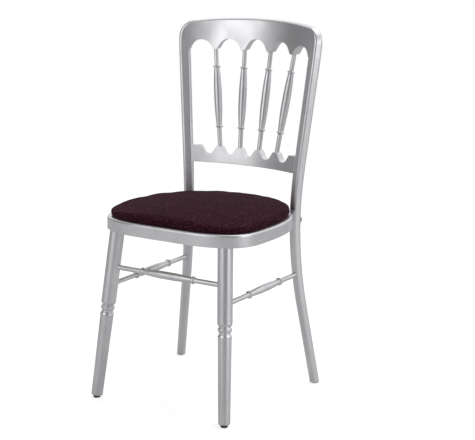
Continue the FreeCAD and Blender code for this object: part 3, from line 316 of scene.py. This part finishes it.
def glide_plastic():
    """Dark grey moulded plastic, scuffed pale where it slides."""
    shader = Shader("Glide Plastic")
    height = shader.add("ShaderNodeSeparateXYZ", {0: shader.place}).outputs["Z"]
    scuff = shader.math("MULTIPLY", shader.ramp(height, SCUFF_HEIGHT, 0.0),
                        shader.ramp(shader.noise(700, 4, 0.7), 0.45, 0.6))
    pits = shader.noise(1500, 2, 0.5)
    colour = shader.mix(shader.noise(90, 2), GLIDE_DARK, GLIDE_LIGHT)
    shader.set(Base_Color=shader.mix(scuff, colour, SCUFFED),
               Roughness=shader.ramp(pits, 0.3, 0.7, 0.46, 0.62),
               Normal=shader.bump(pits, 0.12, 0.08 * MM))
    return shader.material


TAPE_DARK, TAPE_LIGHT = (0.010, 0.010, 0.011, 1), (0.050, 0.050, 0.054, 1)


def touch_tape():
    """Black nylon loop or hook tape."""
    shader = Shader("Touch Tape", Sheen_Weight=0.3, Roughness=0.9)
    loops = shader.noise(1900, 2, 0.6)
    colour = shader.mix(loops, TAPE_DARK, TAPE_LIGHT)
    shader.set(Base_Color=colour, Normal=shader.bump(loops, 0.7, 0.4 * MM))
    return shader.material


CLOTH_SHEEN = (0.62, 0.36, 0.45, 1)
CLOTH_SHINE = 0.06
FLECKS_FOR_EACH_YARN = 0.6
YARN_HOLLOW_SHADE = 0.55
FADED_SHARE = 0.4
CLOUD_SHARE = 0.25
FLECK_SHARE = 0.85


def flecked_weave(settings):
    """Dark aubergine cloth: a plain weave of yarns with painted shade in its hollows and
    scattered pink-purple flecks.
    """
    shader = Shader("Flecked Weave", Roughness=0.92, Sheen_Weight=0.03, Sheen_Roughness=0.45)
    shader.surface.inputs["Sheen Tint"].default_value = CLOTH_SHEEN
    shader.surface.inputs["Specular IOR Level"].default_value = CLOTH_SHINE
    axes = shader.add("ShaderNodeSeparateXYZ", {0: shader.place})
    turns = 2 * math.pi / settings.weave_pitch
    depth = shader.math("ADD", axes.outputs["Y"], axes.outputs["Z"])
    warp = shader.math("SINE", shader.math("MULTIPLY", axes.outputs["X"], turns))
    weft = shader.math("SINE", shader.math("MULTIPLY", depth, turns))
    weave = shader.math("MULTIPLY", warp, weft)
    yarn = shader.ramp(weave, -1, 1)
    flecks = shader.add("ShaderNodeTexVoronoi", {
        "Vector": shader.place, "Scale": FLECKS_FOR_EACH_YARN / settings.weave_pitch},
        feature="F1")
    chance = shader.add("ShaderNodeSeparateColor", {0: flecks.outputs["Color"]}).outputs[0]
    spot = shader.math("MULTIPLY", shader.ramp(chance, 0.55, 0.85), shader.ramp(
        flecks.outputs["Distance"], 0.55, 0.2))
    clouds = shader.ramp(shader.noise(22, 3, 0.6), 0.3, 0.75, 0.25, 0.9)
    # Painted shade: the low places of the weave get a darker copy of the yarn colour.
    hollow_shade = tuple(part * YARN_HOLLOW_SHADE for part in settings.colour[:3]) + (1,)
    dark = shader.mix(yarn, hollow_shade, tuple(settings.colour))
    faded = tuple((1 - FADED_SHARE) * plain + FADED_SHARE * fleck
                  for plain, fleck in zip(settings.colour, settings.fleck))
    cloth = shader.mix(shader.math("MULTIPLY", clouds, CLOUD_SHARE), dark, faded)
    cloth = shader.mix(shader.math("MULTIPLY", spot, FLECK_SHARE), cloth, tuple(settings.fleck))
    fuzz = shader.noise(2200, 2, 0.6)
    normal = shader.bump(yarn, 0.55, 0.35 * MM)
    normal = shader.bump(fuzz, 0.25, 0.2 * MM, normal)
    shader.set(Base_Color=cloth, Normal=normal)
    return shader.material


# Placing and finishing pieces


def paint_node(name, material):
    """Give a CAD node this finish in place of the one that it came with."""
    node = frame["nodes"][name]
    node.data.materials.clear()
    node.data.materials.append(material)


def new_piece(name, mesh):
    piece = bpy.data.objects.new(name, mesh)
    bpy.context.scene.collection.objects.link(piece)
    return piece


def place_piece(piece, body, slot, *nodes):
    """Let a finished piece ride on its body and stand for its CAD nodes."""
    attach(piece, body)
    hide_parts(*nodes)


def smooth(mesh):
    mesh.polygons.foreach_set("use_smooth", [True] * len(mesh.polygons))
    mesh.update()


def finished_mesh(name, form):
    """A mesh of this name made from a bmesh, which is freed."""
    mesh = bpy.data.meshes.new(name)
    form.to_mesh(mesh)
    form.free()
    return mesh


def applied(piece):
    """The piece with the mesh that its modifiers make, and without them."""
    evaluated = piece.evaluated_get(bpy.context.evaluated_depsgraph_get())
    mesh = bpy.data.meshes.new_from_object(evaluated)
    piece.modifiers.clear()
    piece.data = mesh
    mesh.name = piece.name
    return piece


# Geometry Nodes


def node_tree(name, inputs):
    """A modifier tree with a geometry input and output and these named inputs."""
    tree = bpy.data.node_groups.new(name, "GeometryNodeTree")
    face = tree.interface
    face.new_socket("Geometry", in_out="INPUT", socket_type="NodeSocketGeometry")
    for label, kind in inputs:
        face.new_socket(label, in_out="INPUT", socket_type=f"NodeSocket{kind}")
    face.new_socket("Geometry", in_out="OUTPUT", socket_type="NodeSocketGeometry")
    start = tree.nodes.new("NodeGroupInput")
    end = tree.nodes.new("NodeGroupOutput")
    return tree, start.outputs, end.inputs


def tree_node(tree, kind, inputs=None, **attributes):
    """The outputs of a new node of a modifier tree."""
    return new_node(tree, kind, inputs, **attributes).outputs


def finish_tree(tree, geometry, finish, end):
    """End a tree in plain geometry with its material."""
    real = tree_node(tree, "GeometryNodeRealizeInstances", {"Geometry": geometry})
    made = tree_node(tree, "GeometryNodeSetMaterial", {"Geometry": real[0], "Material": finish})
    tree.links.new(made[0], end["Geometry"])


def grown(piece, tree, values):
    """The piece's mesh as its tree makes it, with the modifier gone."""
    modifier = piece.modifiers.new(tree.name, "NODES")
    modifier.node_group = tree
    sockets = {item.name: item.identifier for item in tree.interface.items_tree
               if item.item_type == "SOCKET" and item.in_out == "INPUT"}
    for label, value in values.items():
        modifier[sockets[label]] = value
    bpy.context.view_layer.update()
    return applied(piece)


def turning_tree():
    """Turns a line of stations, which carry their radius, into a smooth round piece."""
    tree, start, end = node_tree("Turned Wood", [("Step", "Float"), ("Facets", "Int"),
                                                 ("Finish", "Material")])
    line = tree_node(tree, "GeometryNodeMeshToCurve", {"Mesh": start["Geometry"]})[0]
    line = tree_node(tree, "GeometryNodeResampleCurve",
                     {"Curve": line, "Length": start["Step"]}, mode="LENGTH")[0]
    radius = tree_node(tree, "GeometryNodeInputNamedAttribute", {"Name": "turned_radius"},
                       data_type="FLOAT")["Attribute"]
    circle = tree_node(tree, "GeometryNodeCurvePrimitiveCircle",
                       {"Resolution": start["Facets"], "Radius": 1.0})[0]
    skin = tree_node(tree, "GeometryNodeCurveToMesh", {
        "Curve": line, "Profile Curve": circle, "Scale": radius, "Fill Caps": True})[0]
    soft = tree_node(tree, "GeometryNodeSetShadeSmooth", {"Geometry": skin})[0]
    finish_tree(tree, soft, start["Finish"], end)
    return tree


WIRE_FACETS = 8


def staple_tree():
    """Sets wire staples along a closed line, each with its crown along the line."""
    tree, start, end = node_tree("Hem Staples", [
        ("Count", "Int"), ("Crown", "Float"), ("Leg", "Float"), ("Wire", "Float"),
        ("Finish", "Material")])
    line = tree_node(tree, "GeometryNodeMeshToCurve", {"Mesh": start["Geometry"]})[0]
    places = tree_node(tree, "GeometryNodeResampleCurve",
                       {"Curve": line, "Count": start["Count"]}, mode="COUNT")[0]
    half = tree_node(tree, "ShaderNodeMath", {0: start["Crown"], 1: 0.5},
                     operation="MULTIPLY")[0]
    other = tree_node(tree, "ShaderNodeMath", {0: half, 1: -1.0}, operation="MULTIPLY")[0]
    corners = {}
    for side, across in (("left", other), ("right", half)):
        corners[side] = tree_node(tree, "ShaderNodeCombineXYZ", {"X": across})[0]
        corners[side + "_tip"] = tree_node(tree, "ShaderNodeCombineXYZ",
                                           {"X": across, "Z": start["Leg"]})[0]
    runs = [("left_tip", "left"), ("left", "right"), ("right", "right_tip")]
    join = tree.nodes.new("GeometryNodeJoinGeometry")
    for first, last in runs:
        run = tree_node(tree, "GeometryNodeCurvePrimitiveLine",
                        {"Start": corners[first], "End": corners[last]})[0]
        tree.links.new(run, join.inputs[0])
    profile = tree_node(tree, "GeometryNodeCurvePrimitiveCircle",
                        {"Resolution": WIRE_FACETS, "Radius": start["Wire"]})[0]
    wire = tree_node(tree, "GeometryNodeCurveToMesh", {
        "Curve": join.outputs[0], "Profile Curve": profile, "Fill Caps": True})[0]
    along = tree_node(tree, "GeometryNodeInputTangent")[0]
    turn = tree_node(tree, "FunctionNodeAlignRotationToVector", {"Vector": along}, axis="X")[0]
    made = tree_node(tree, "GeometryNodeInstanceOnPoints", {
        "Points": places, "Instance": wire, "Rotation": turn})[0]
    finish_tree(tree, made, start["Finish"], end)
    return tree


# Measures read from the frame


END_FACE = 0.995
SAME_END = 0.5 * MM
FULL_RING = 16
THINNEST = 2.5 * MM
SAME_RING = 0.05 * MM


def vectors(mesh, name):
    """A mesh's vertex places ("co") or normals ("normal"), as rows of three."""
    values = np.empty(len(mesh.vertices) * 3)
    mesh.vertices.foreach_get(name, values)
    return values.reshape(-1, 3)


def node_points(name):
    return vectors(frame["nodes"][name].data, "co")


def turned_axis(name):
    """A turned node's axis: the middle of its first end face, and its direction."""
    mesh = frame["nodes"][name].data
    points = node_points(name)
    spread = points - points.mean(0)
    direction = np.linalg.svd(spread, full_matrices=False)[2][0]
    if direction[2] < -0.5 or (abs(direction[2]) < 0.5 and direction[0] + direction[1] < 0):
        direction = -direction
    faces = [(np.array(f.normal), np.array(f.center), f) for f in mesh.polygons
             if np.dot(f.normal, direction) < -END_FACE]
    first = min(np.dot(centre, direction) for _, centre, _ in faces)
    cap = [(normal, face) for normal, centre, face in faces
           if np.dot(centre, direction) < first + SAME_END]
    direction = -sum(normal * face.area for normal, face in cap)
    direction /= np.linalg.norm(direction)
    corners = {tuple(np.round(mesh.vertices[i].co, 6)) for _, face in cap for i in face.vertices}
    return np.mean([np.array(c) for c in corners], axis=0), direction


def turned_stations(name):
    """Rings of a turned node from end to end, as (distance along the axis, radius)."""
    base, direction = turned_axis(name)
    points = node_points(name) - base
    along = points @ direction
    radius = np.linalg.norm(points - np.outer(along, direction), axis=1)
    rings = {}
    for height, reach in zip(along, radius):
        rings.setdefault((round(height, 4), round(reach, 4)), []).append((height, reach))
    stations = []
    for key in sorted(rings):
        if len(rings[key]) >= FULL_RING and key[1] > THINNEST:
            height, reach = np.mean(rings[key], axis=0)
            if stations and height - stations[-1][0] < SAME_RING:
                if reach > stations[-1][1]:
                    stations[-1] = (height, reach)
                continue
            stations.append((height, reach))
    return Vector(base), Vector(direction), stations


SHARP_TURN = math.radians(14)
MOST_OF_A_RUN = 0.4


def softened(stations, corner):
    """Stations with three close ones, on a small curve, in place of each sharp corner."""
    made = [stations[0]]
    for before, here, after in zip(stations, stations[1:], stations[2:]):
        first = math.atan2(here[1] - before[1], here[0] - before[0])
        second = math.atan2(after[1] - here[1], after[0] - here[0])
        if abs(second - first) < SHARP_TURN:
            made.append(here)
            continue
        ends = []
        for other in (before, after):
            share = min(corner / math.dist(here, other), MOST_OF_A_RUN)
            ends.append(tuple(h + (o - h) * share for h, o in zip(here, other)))
        middle = tuple(0.25 * a + 0.5 * h + 0.25 * b for a, h, b in zip(ends[0], here, ends[1]))
        made += [ends[0], middle, ends[1]]
    return made + [stations[-1]]


CLEAR_OF_REACH = 5 * MM
FULL_SHARE = 0.97


def turned_piece(name, node, tree, settings, finish, reach=None):
    """A smooth turned piece from a node's rings.

    Where reach is given, its fullest part runs on to that height, and its tenon is left out.
    """
    base, direction, stations = turned_stations(node)
    if reach is not None:
        fullest = max(r for _, r in stations)
        stations = [s for s in stations
                    if (base + direction * s[0]).z < reach - CLEAR_OF_REACH]
        while stations[-1][1] < FULL_SHARE * fullest:
            stations.pop()
        stations.append(((reach - base.z) / direction.z, stations[-1][1]))
    stations = softened(stations, settings.corner)
    mesh = bpy.data.meshes.new(name)
    mesh.from_pydata([base + direction * s[0] for s in stations],
                     [(i, i + 1) for i in range(len(stations) - 1)], [])
    radius = mesh.attributes.new("turned_radius", "FLOAT", "POINT")
    radius.data.foreach_set("value", [s[1] for s in stations])
    piece = new_piece(name, mesh)
    return grown(piece, tree, {"Step": settings.step, "Facets": settings.facets,
                               "Finish": finish})


def plan_hull(name):
    """The convex plan outline of a node, as (x, y) points counter-clockwise."""
    points = sorted({tuple(np.round(p[:2], 5)) for p in node_points(name)})

    def turn(a, b, c):
        return (b[0] - a[0]) * (c[1] - a[1]) - (b[1] - a[1]) * (c[0] - a[0])

    def half(ordered):
        chain = []
        for point in ordered:
            while len(chain) > 1 and turn(chain[-2], chain[-1], point) <= 0:
                chain.pop()
            chain.append(point)
        return chain[:-1]

    return half(points) + half(points[::-1])


def plan_outline(name, count):
    """Evenly turned points of a node's plan outline with their outward directions."""
    hull = np.array(plan_hull(name))
    low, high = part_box(name)
    centre = np.array([(low.x + high.x) / 2, (low.y + high.y) / 2])
    closed = np.vstack([hull, hull[:1]])
    steps = np.linalg.norm(np.diff(closed, axis=0), axis=1)
    travelled = np.concatenate([[0], np.cumsum(steps)])
    wanted = np.linspace(0, travelled[-1], count, endpoint=False)
    x, y = (np.interp(wanted, travelled, closed[:, k]) for k in (0, 1))
    places = np.stack([x, y], axis=1)
    ahead, behind = np.roll(places, -2, axis=0), np.roll(places, 2, axis=0)
    tangent = ahead - behind
    tangent /= np.linalg.norm(tangent, axis=1)[:, None]
    outward = np.stack([tangent[:, 1], -tangent[:, 0]], axis=1)
    flip = np.sign(((places - centre) * outward).sum(axis=1))
    return places, outward * flip[:, None]


# Pieces


class CHAIR_OT_boards(bpy.types.Operator):
    """Lacquer the seat ring, the posts and the back's boards"""

    bl_idname = "chair.boards"
    bl_label = "Boards and Posts"

    def execute(self, context):
        finish = silver_lacquer(context.scene.chair_lacquer)
        for name in LACQUERED_BOARDS:
            paint_node(name, finish)
        wood = bare_wood("Bare Beech", BEECH_LIGHT, BEECH_DARK, BEECH_RINGS)
        for name in DOWELS:
            paint_node(name, wood)
        return {"FINISHED"}


LEG_IN_RING = 3 * MM


class CHAIR_OT_turnings(bpy.types.Operator):
    """Turn the front legs, spindles and stretchers"""

    bl_idname = "chair.turnings"
    bl_label = "Turned Legs, Spindles and Stretchers"

    def execute(self, context):
        settings = context.scene.chair_turning
        finish = bpy.data.materials["Silver Lacquer"]
        tree = turning_tree()
        for node in SPINDLES + STRETCHERS:
            piece = turned_piece(f"turned_{node}", node, tree, settings, finish)
            place_piece(piece, "frame", "silver_lacquer", node)
        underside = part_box("seat_rail_left")[0].z
        for node in FRONT_LEGS:
            piece = turned_piece(f"turned_{node}", node, tree, settings, finish,
                                 underside + LEG_IN_RING)
            place_piece(piece, "frame", "silver_lacquer", node)
        return {"FINISHED"}


class CHAIR_OT_fixings(bpy.types.Operator):
    """Finish the seat bolts, their nuts and the glides"""

    bl_idname = "chair.fixings"
    bl_label = "Bolts and Glides"

    def execute(self, context):
        steel, plastic = plated_steel(), glide_plastic()
        for name in FIXINGS:
            paint_node(name, steel)
        for name in GLIDES:
            paint_node(name, plastic)
        return {"FINISHED"}


PAD_OVER_BOARD = 0.7 * MM


def cushion_start():
    """The pad's smooth outer form over its board, before it is remeshed."""
    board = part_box("pad_board")[0].z
    form = bmesh.new()
    for point in node_points("pad_cover"):
        form.verts.new(point)
    bmesh.ops.convex_hull(form, input=form.verts)
    loose = [v for v in form.verts if not v.link_faces]
    bmesh.ops.delete(form, geom=loose, context="VERTS")
    cut = bmesh.ops.bisect_plane(form, geom=form.verts[:] + form.edges[:] + form.faces[:],
                                 plane_co=(0, 0, board + PAD_OVER_BOARD),
                                 plane_no=(0, 0, -1), clear_outer=True)
    rim = [edge for edge in cut["geom_cut"] if isinstance(edge, bmesh.types.BMEdge)]
    bmesh.ops.holes_fill(form, edges=rim)
    bmesh.ops.recalc_face_normals(form, faces=form.faces)
    return new_piece("seat_pad", finished_mesh("seat_pad", form))


def only_active(piece):
    for other in bpy.context.view_layer.objects:
        other.select_set(other == piece)
    bpy.context.view_layer.objects.active = piece


HELD_TO = 1 * MM
FREE_OVER = 7 * MM
SWELL_FRAMES = 20
NO_LENGTH = 1e-9
COVER = {"quality": 6, "mass": 0.35, "tension_stiffness": 18, "compression_stiffness": 6,
         "shear_stiffness": 6, "bending_stiffness": 1.5}


def remeshed(piece, settings):
    """The pad as even cells, wider and lower than when finished where the ring leaves it free."""
    ring_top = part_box("seat_rail_front")[1].z
    only_active(piece)
    piece.data.remesh_voxel_size = settings.voxel
    bpy.ops.object.voxel_remesh()
    start = vectors(piece.data, "co")
    normals = vectors(piece.data, "normal")
    free = np.clip((start[:, 2] - ring_top - HELD_TO) / FREE_OVER, 0, 1)
    level = np.square(normals[:, 2])
    offset = settings.spread * (1 - level) - settings.shrink * level
    start = start + normals * (offset * free)[:, None]
    piece.data.vertices.foreach_set("co", start.ravel())
    pinned = piece.vertex_groups.new(name="held")
    for i, share in enumerate(free):
        pinned.add([i], float(1 - share), "REPLACE")
    return start


def swell(piece, start, settings):
    """Blow the pad up as cloth over foam, held in the seat ring's rebate."""
    cloth = piece.modifiers.new("cover", "CLOTH")
    for name, value in COVER.items():
        setattr(cloth.settings, name, value)
    cloth.settings.use_pressure = True
    cloth.settings.uniform_pressure_force = settings.pressure
    cloth.settings.vertex_group_mass = "held"
    cloth.settings.effector_weights.gravity = 0
    cloth.collision_settings.use_collision = False
    cloth.point_cache.frame_start = 1
    cloth.point_cache.frame_end = SWELL_FRAMES
    scene = bpy.context.scene
    for step in range(1, SWELL_FRAMES + 1):
        scene.frame_set(step)
    evaluated = piece.evaluated_get(bpy.context.evaluated_depsgraph_get())
    move = vectors(evaluated.data, "co") - start
    far = np.linalg.norm(move, axis=1)
    move *= np.minimum(1, settings.cap / np.maximum(far, NO_LENGTH))[:, None]
    piece.modifiers.clear()
    piece.data.vertices.foreach_set("co", (start + move).ravel())
    scene.frame_set(1)


EVEN_STEPS = 14


def evened(piece):
    """The pad with the cover's small buckles pulled smooth, as an upholsterer would."""
    even = piece.modifiers.new("even", "SMOOTH")
    even.factor = 0.5
    even.iterations = EVEN_STEPS
    even.vertex_group = "held"
    even.invert_vertex_group = True
    applied(piece)
    piece.vertex_groups.clear()
    return piece


RUMPLES_OVER = 10 * MM
RUMPLE_HEIGHT = 0.9 * MM
BROAD_WAVES, BROAD_SHARE = 17, 0.7
FINE_WAVES, FINE_SHARE = 46, 0.25


def rumple(piece):
    """Add the slight unevenness of cloth pulled by hand, and finish with one subdivision."""
    ring_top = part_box("seat_rail_front")[1].z
    for vertex in piece.data.vertices:
        free = min(max((vertex.co.z - ring_top) / RUMPLES_OVER, 0), 1)
        wave = (noise.noise(vertex.co * BROAD_WAVES) * BROAD_SHARE
                + noise.noise(vertex.co * FINE_WAVES) * FINE_SHARE)
        vertex.co += vertex.normal * (wave * RUMPLE_HEIGHT * free)
    finer = piece.modifiers.new("finer", "SUBSURF")
    finer.levels = finer.render_levels = 1
    applied(piece)
    smooth(piece.data)


class CHAIR_OT_pad(bpy.types.Operator):
    """Make the upholstered pad by cloth simulation"""

    bl_idname = "chair.pad"
    bl_label = "Seat Pad"

    def execute(self, context):
        settings = context.scene.chair_pad
        piece = cushion_start()
        start = remeshed(piece, settings)
        swell(piece, start, settings)
        piece.data.update()
        rumple(evened(piece))
        piece.data.materials.clear()
        piece.data.materials.append(flecked_weave(settings))
        place_piece(piece, "pad", "aubergine_cloth", "pad_cover", "pad_foam")
        return {"FINISHED"}


HEM_POINTS = 240
PLEATS = 60
PLEAT_DEPTH = 0.25 * MM
RAGGED_EDGE = 1.5 * MM
RAGGED_WAVES = 60


def hem_mesh(settings):
    """The cover's turned-under edge, gathered in small pleats under the board."""
    places, outward = plan_outline("pad_board", HEM_POINTS)
    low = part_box("pad_cover")[0].z
    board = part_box("pad_board")[0].z
    form = bmesh.new()
    loops = []
    for i, (place, out) in enumerate(zip(places, outward)):
        pleat = math.cos(2 * math.pi * PLEATS * i / HEM_POINTS)
        ragged = noise.noise(Vector((place[0], place[1], 0)) * RAGGED_WAVES) * RAGGED_EDGE
        gather = PLEAT_DEPTH * (1 - pleat)
        section = [
            (1.1 * MM, board + 1.2 * MM), (1.2 * MM, low + 0.6 * MM), (0.6 * MM, low + 0.1 * MM),
            (-5 * MM, low - gather * 0.2), (-settings.hem_width * 0.6, low - gather),
            (-settings.hem_width + ragged, low - gather * 0.8 + 0.1 * MM),
            (-settings.hem_width + ragged, board + 0.05 * MM), (0, board + 0.05 * MM)]
        loops.append([form.verts.new((*(place + out * step), z)) for step, z in section])
    for i, loop in enumerate(loops):
        after = loops[(i + 1) % len(loops)]
        for k in range(len(loop)):
            n = (k + 1) % len(loop)
            form.faces.new((loop[k], after[k], after[n], loop[n]))
    bmesh.ops.recalc_face_normals(form, faces=form.faces)
    mesh = finished_mesh("pad_hem", form)
    smooth(mesh)
    return mesh


STAPLES = 24
STAPLE_CROWN = 10 * MM
STAPLE_WIRE = 0.45 * MM


class CHAIR_OT_underside(bpy.types.Operator):
    """Finish the pad's underside: hem, staples, board and touch tape"""

    bl_idname = "chair.underside"
    bl_label = "Pad Underside"

    def execute(self, context):
        settings = context.scene.chair_pad
        hem = new_piece("pad_hem", hem_mesh(settings))
        hem.data.materials.append(bpy.data.materials["Flecked Weave"])
        place_piece(hem, "pad", "aubergine_cloth", "pad_cover")
        paint_node("pad_board", bare_wood("Plywood", PLY_LIGHT, PLY_DARK, PLY_RINGS))
        tape = touch_tape()
        paint_node("pad_hook_tapes", tape)
        paint_node("ring_loop_tapes", tape)
        places = plan_outline("pad_staples", HEM_POINTS)[0]
        staple_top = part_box("pad_staples")[1].z
        hem_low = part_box("pad_cover")[0].z
        mesh = bpy.data.meshes.new("staple_line")
        ring = [(*place, hem_low - STAPLE_WIRE) for place in places]
        mesh.from_pydata(ring, [(i, (i + 1) % len(ring)) for i in range(len(ring))], [])
        staples = grown(new_piece("hem_staples", mesh), staple_tree(), {
            "Count": STAPLES, "Crown": STAPLE_CROWN, "Leg": staple_top - hem_low,
            "Wire": STAPLE_WIRE, "Finish": bpy.data.materials["Plated Steel"]})
        smooth(staples.data)
        place_piece(staples, "pad", "zinc_steel", "pad_staples")
        return {"FINISHED"}


# Stage


CAMERA_PLACE = Vector((1.8442, -2.7888, 1.1701))
CAMERA_RIGHT = Vector((0.84388, 0.53648, 0.00750))
CAMERA_UP = Vector((-0.12266, 0.17931, 0.97612))
CAMERA_LENS = 106.2
SENSOR = 36.0

LIT_POINT = (0, 0, 0.5)
KEY_PLACE, KEY_SIZE = (-0.95, -3.2, 1.9), (3.0, 3.0)
TOP_PLACE, TOP_SIZE = (0.2, 0.9, 3.1), (2.4, 2.4)
FILL_PLACE, FILL_SIZE = (3.2, -0.3, 1.3), (1.8, 2.4)


def soft_lamp(name, place, size, power):
    """A rectangular lamp that is turned to the middle of the chair."""
    light = bpy.data.lights.new(name, "AREA")
    light.shape = "RECTANGLE"
    light.size, light.size_y = size
    light.energy = power
    lamp = bpy.data.objects.new(name, light)
    lamp.location = place
    aim = Vector(LIT_POINT) - Vector(place)
    lamp.rotation_euler = aim.to_track_quat("-Z", "Y").to_euler()
    bpy.context.scene.collection.objects.link(lamp)


def seen(tree, *rays):
    """1 for rays of these kinds, and 0 for others."""
    paths = new_node(tree, "ShaderNodeLightPath").outputs
    value = paths[rays[0]]
    for ray in rays[1:]:
        value = new_node(tree, "ShaderNodeMath", {0: value, 1: paths[ray]},
                         operation="MAXIMUM").outputs[0]
    return value


PALE_SIDE = (0.05, 0.94, 0.34)
DIM_UP_TO, PALE_FROM = -0.30, 0.75


def studio_world(settings):
    """A room that is pale behind the chair and dim in front of it, and white in view."""
    world = bpy.data.worlds.new("Studio")
    bpy.context.scene.world = world
    world.use_nodes = True
    tree = world.node_tree
    background = tree.nodes["Background"]
    background.inputs["Color"].default_value = WHITE
    where = new_node(tree, "ShaderNodeTexCoord").outputs["Generated"]
    facing = new_node(tree, "ShaderNodeVectorMath", {0: where, 1: PALE_SIDE},
                      operation="DOT_PRODUCT").outputs["Value"]
    room = new_node(tree, "ShaderNodeMapRange", {
        "Value": facing, "From Min": DIM_UP_TO, "From Max": PALE_FROM,
        "To Min": settings.dim_side, "To Max": settings.sky},
        interpolation_type="SMOOTHSTEP").outputs["Result"]
    in_view = seen(tree, "Is Camera Ray", "Is Transmission Ray")
    strength = new_node(tree, "ShaderNodeMix", {0: in_view, 2: room, 3: 1.0}).outputs[0]
    tree.links.new(strength, background.inputs["Strength"])


FLOOR_REACH = 60
WHITE_IN_REFLECTIONS = 0.15


def studio_floor(settings):
    """A wide plain floor, lifted towards white where it is seen, with its shadow kept."""
    form = bmesh.new()
    bmesh.ops.create_grid(form, x_segments=2, y_segments=2, size=FLOOR_REACH)
    floor = new_piece("studio_floor", finished_mesh("studio_floor", form))
    shader = Shader("Studio Floor", Roughness=0.9)
    shader.surface.inputs["Base Color"].default_value = tuple(settings.floor_colour)
    shader.surface.inputs["Emission Color"].default_value = WHITE
    mirrored = shader.math("MULTIPLY", seen(shader.tree, "Is Glossy Ray"), WHITE_IN_REFLECTIONS)
    in_view = seen(shader.tree, "Is Camera Ray", "Is Transmission Ray")
    lift = shader.math("MAXIMUM", in_view, mirrored)
    shader.set(Emission_Strength=shader.math("MULTIPLY", lift, settings.whiteness))
    floor.data.materials.append(shader.material)


def photograph_camera():
    """The camera at the photograph's place, found from the frame's joints."""
    camera = bpy.data.objects.new("camera", bpy.data.cameras.new("camera"))
    camera.data.sensor_width = SENSOR
    camera.data.lens = CAMERA_LENS
    axes = Matrix((CAMERA_RIGHT, CAMERA_UP, CAMERA_RIGHT.cross(CAMERA_UP))).transposed()
    camera.matrix_world = Matrix.Translation(CAMERA_PLACE) @ axes.to_4x4()
    bpy.context.scene.collection.objects.link(camera)
    bpy.context.scene.camera = camera


class CHAIR_OT_stage(bpy.types.Operator):
    """Set the floor, the lamps and the camera"""

    bl_idname = "chair.stage"
    bl_label = "Stage"

    def execute(self, context):
        settings = context.scene.chair_stage
        studio_floor(settings)
        studio_world(settings)
        soft_lamp("key", KEY_PLACE, KEY_SIZE, settings.key_power)
        soft_lamp("top", TOP_PLACE, TOP_SIZE, settings.top_power)
        soft_lamp("fill", FILL_PLACE, FILL_SIZE, settings.fill_power)
        photograph_camera()
        context.scene.view_settings.view_transform = "Standard"
        return {"FINISHED"}


class CHAIR_PT_panel(bpy.types.Panel):
    """Lists the chair's makers and their settings"""

    bl_label = "Spindle-Back Chair"
    bl_idname = "CHAIR_PT_panel"
    bl_space_type = "VIEW_3D"
    bl_region_type = "UI"
    bl_category = "Chair"

    def draw(self, context):
        for operator in OPERATORS:
            self.layout.operator(operator.bl_idname)
        for name in SETTINGS:
            group = getattr(context.scene, name)
            box = self.layout.box()
            for label in group.__annotations__:
                box.prop(group, label)


SETTINGS = {"chair_lacquer": LacquerSettings, "chair_turning": TurningSettings,
            "chair_pad": PadSettings, "chair_stage": StageSettings}
OPERATORS = (CHAIR_OT_boards, CHAIR_OT_turnings, CHAIR_OT_fixings, CHAIR_OT_pad,
             CHAIR_OT_underside, CHAIR_OT_stage)


def register():
    for group in SETTINGS.values():
        bpy.utils.register_class(group)
    for made in OPERATORS + (CHAIR_PT_panel,):
        bpy.utils.register_class(made)
    for name, group in SETTINGS.items():
        setattr(bpy.types.Scene, name, PointerProperty(type=group))


def unregister():
    for name in SETTINGS:
        delattr(bpy.types.Scene, name)
    for made in (CHAIR_PT_panel,) + OPERATORS[::-1]:
        bpy.utils.unregister_class(made)
    for group in SETTINGS.values():
        bpy.utils.unregister_class(group)


def main():
    register()
    bpy.ops.chair.boards()
    bpy.ops.chair.turnings()
    bpy.ops.chair.fixings()
    bpy.ops.chair.pad()
    bpy.ops.chair.underside()
    bpy.ops.chair.stage()


if __name__ == "__main__":
    main()
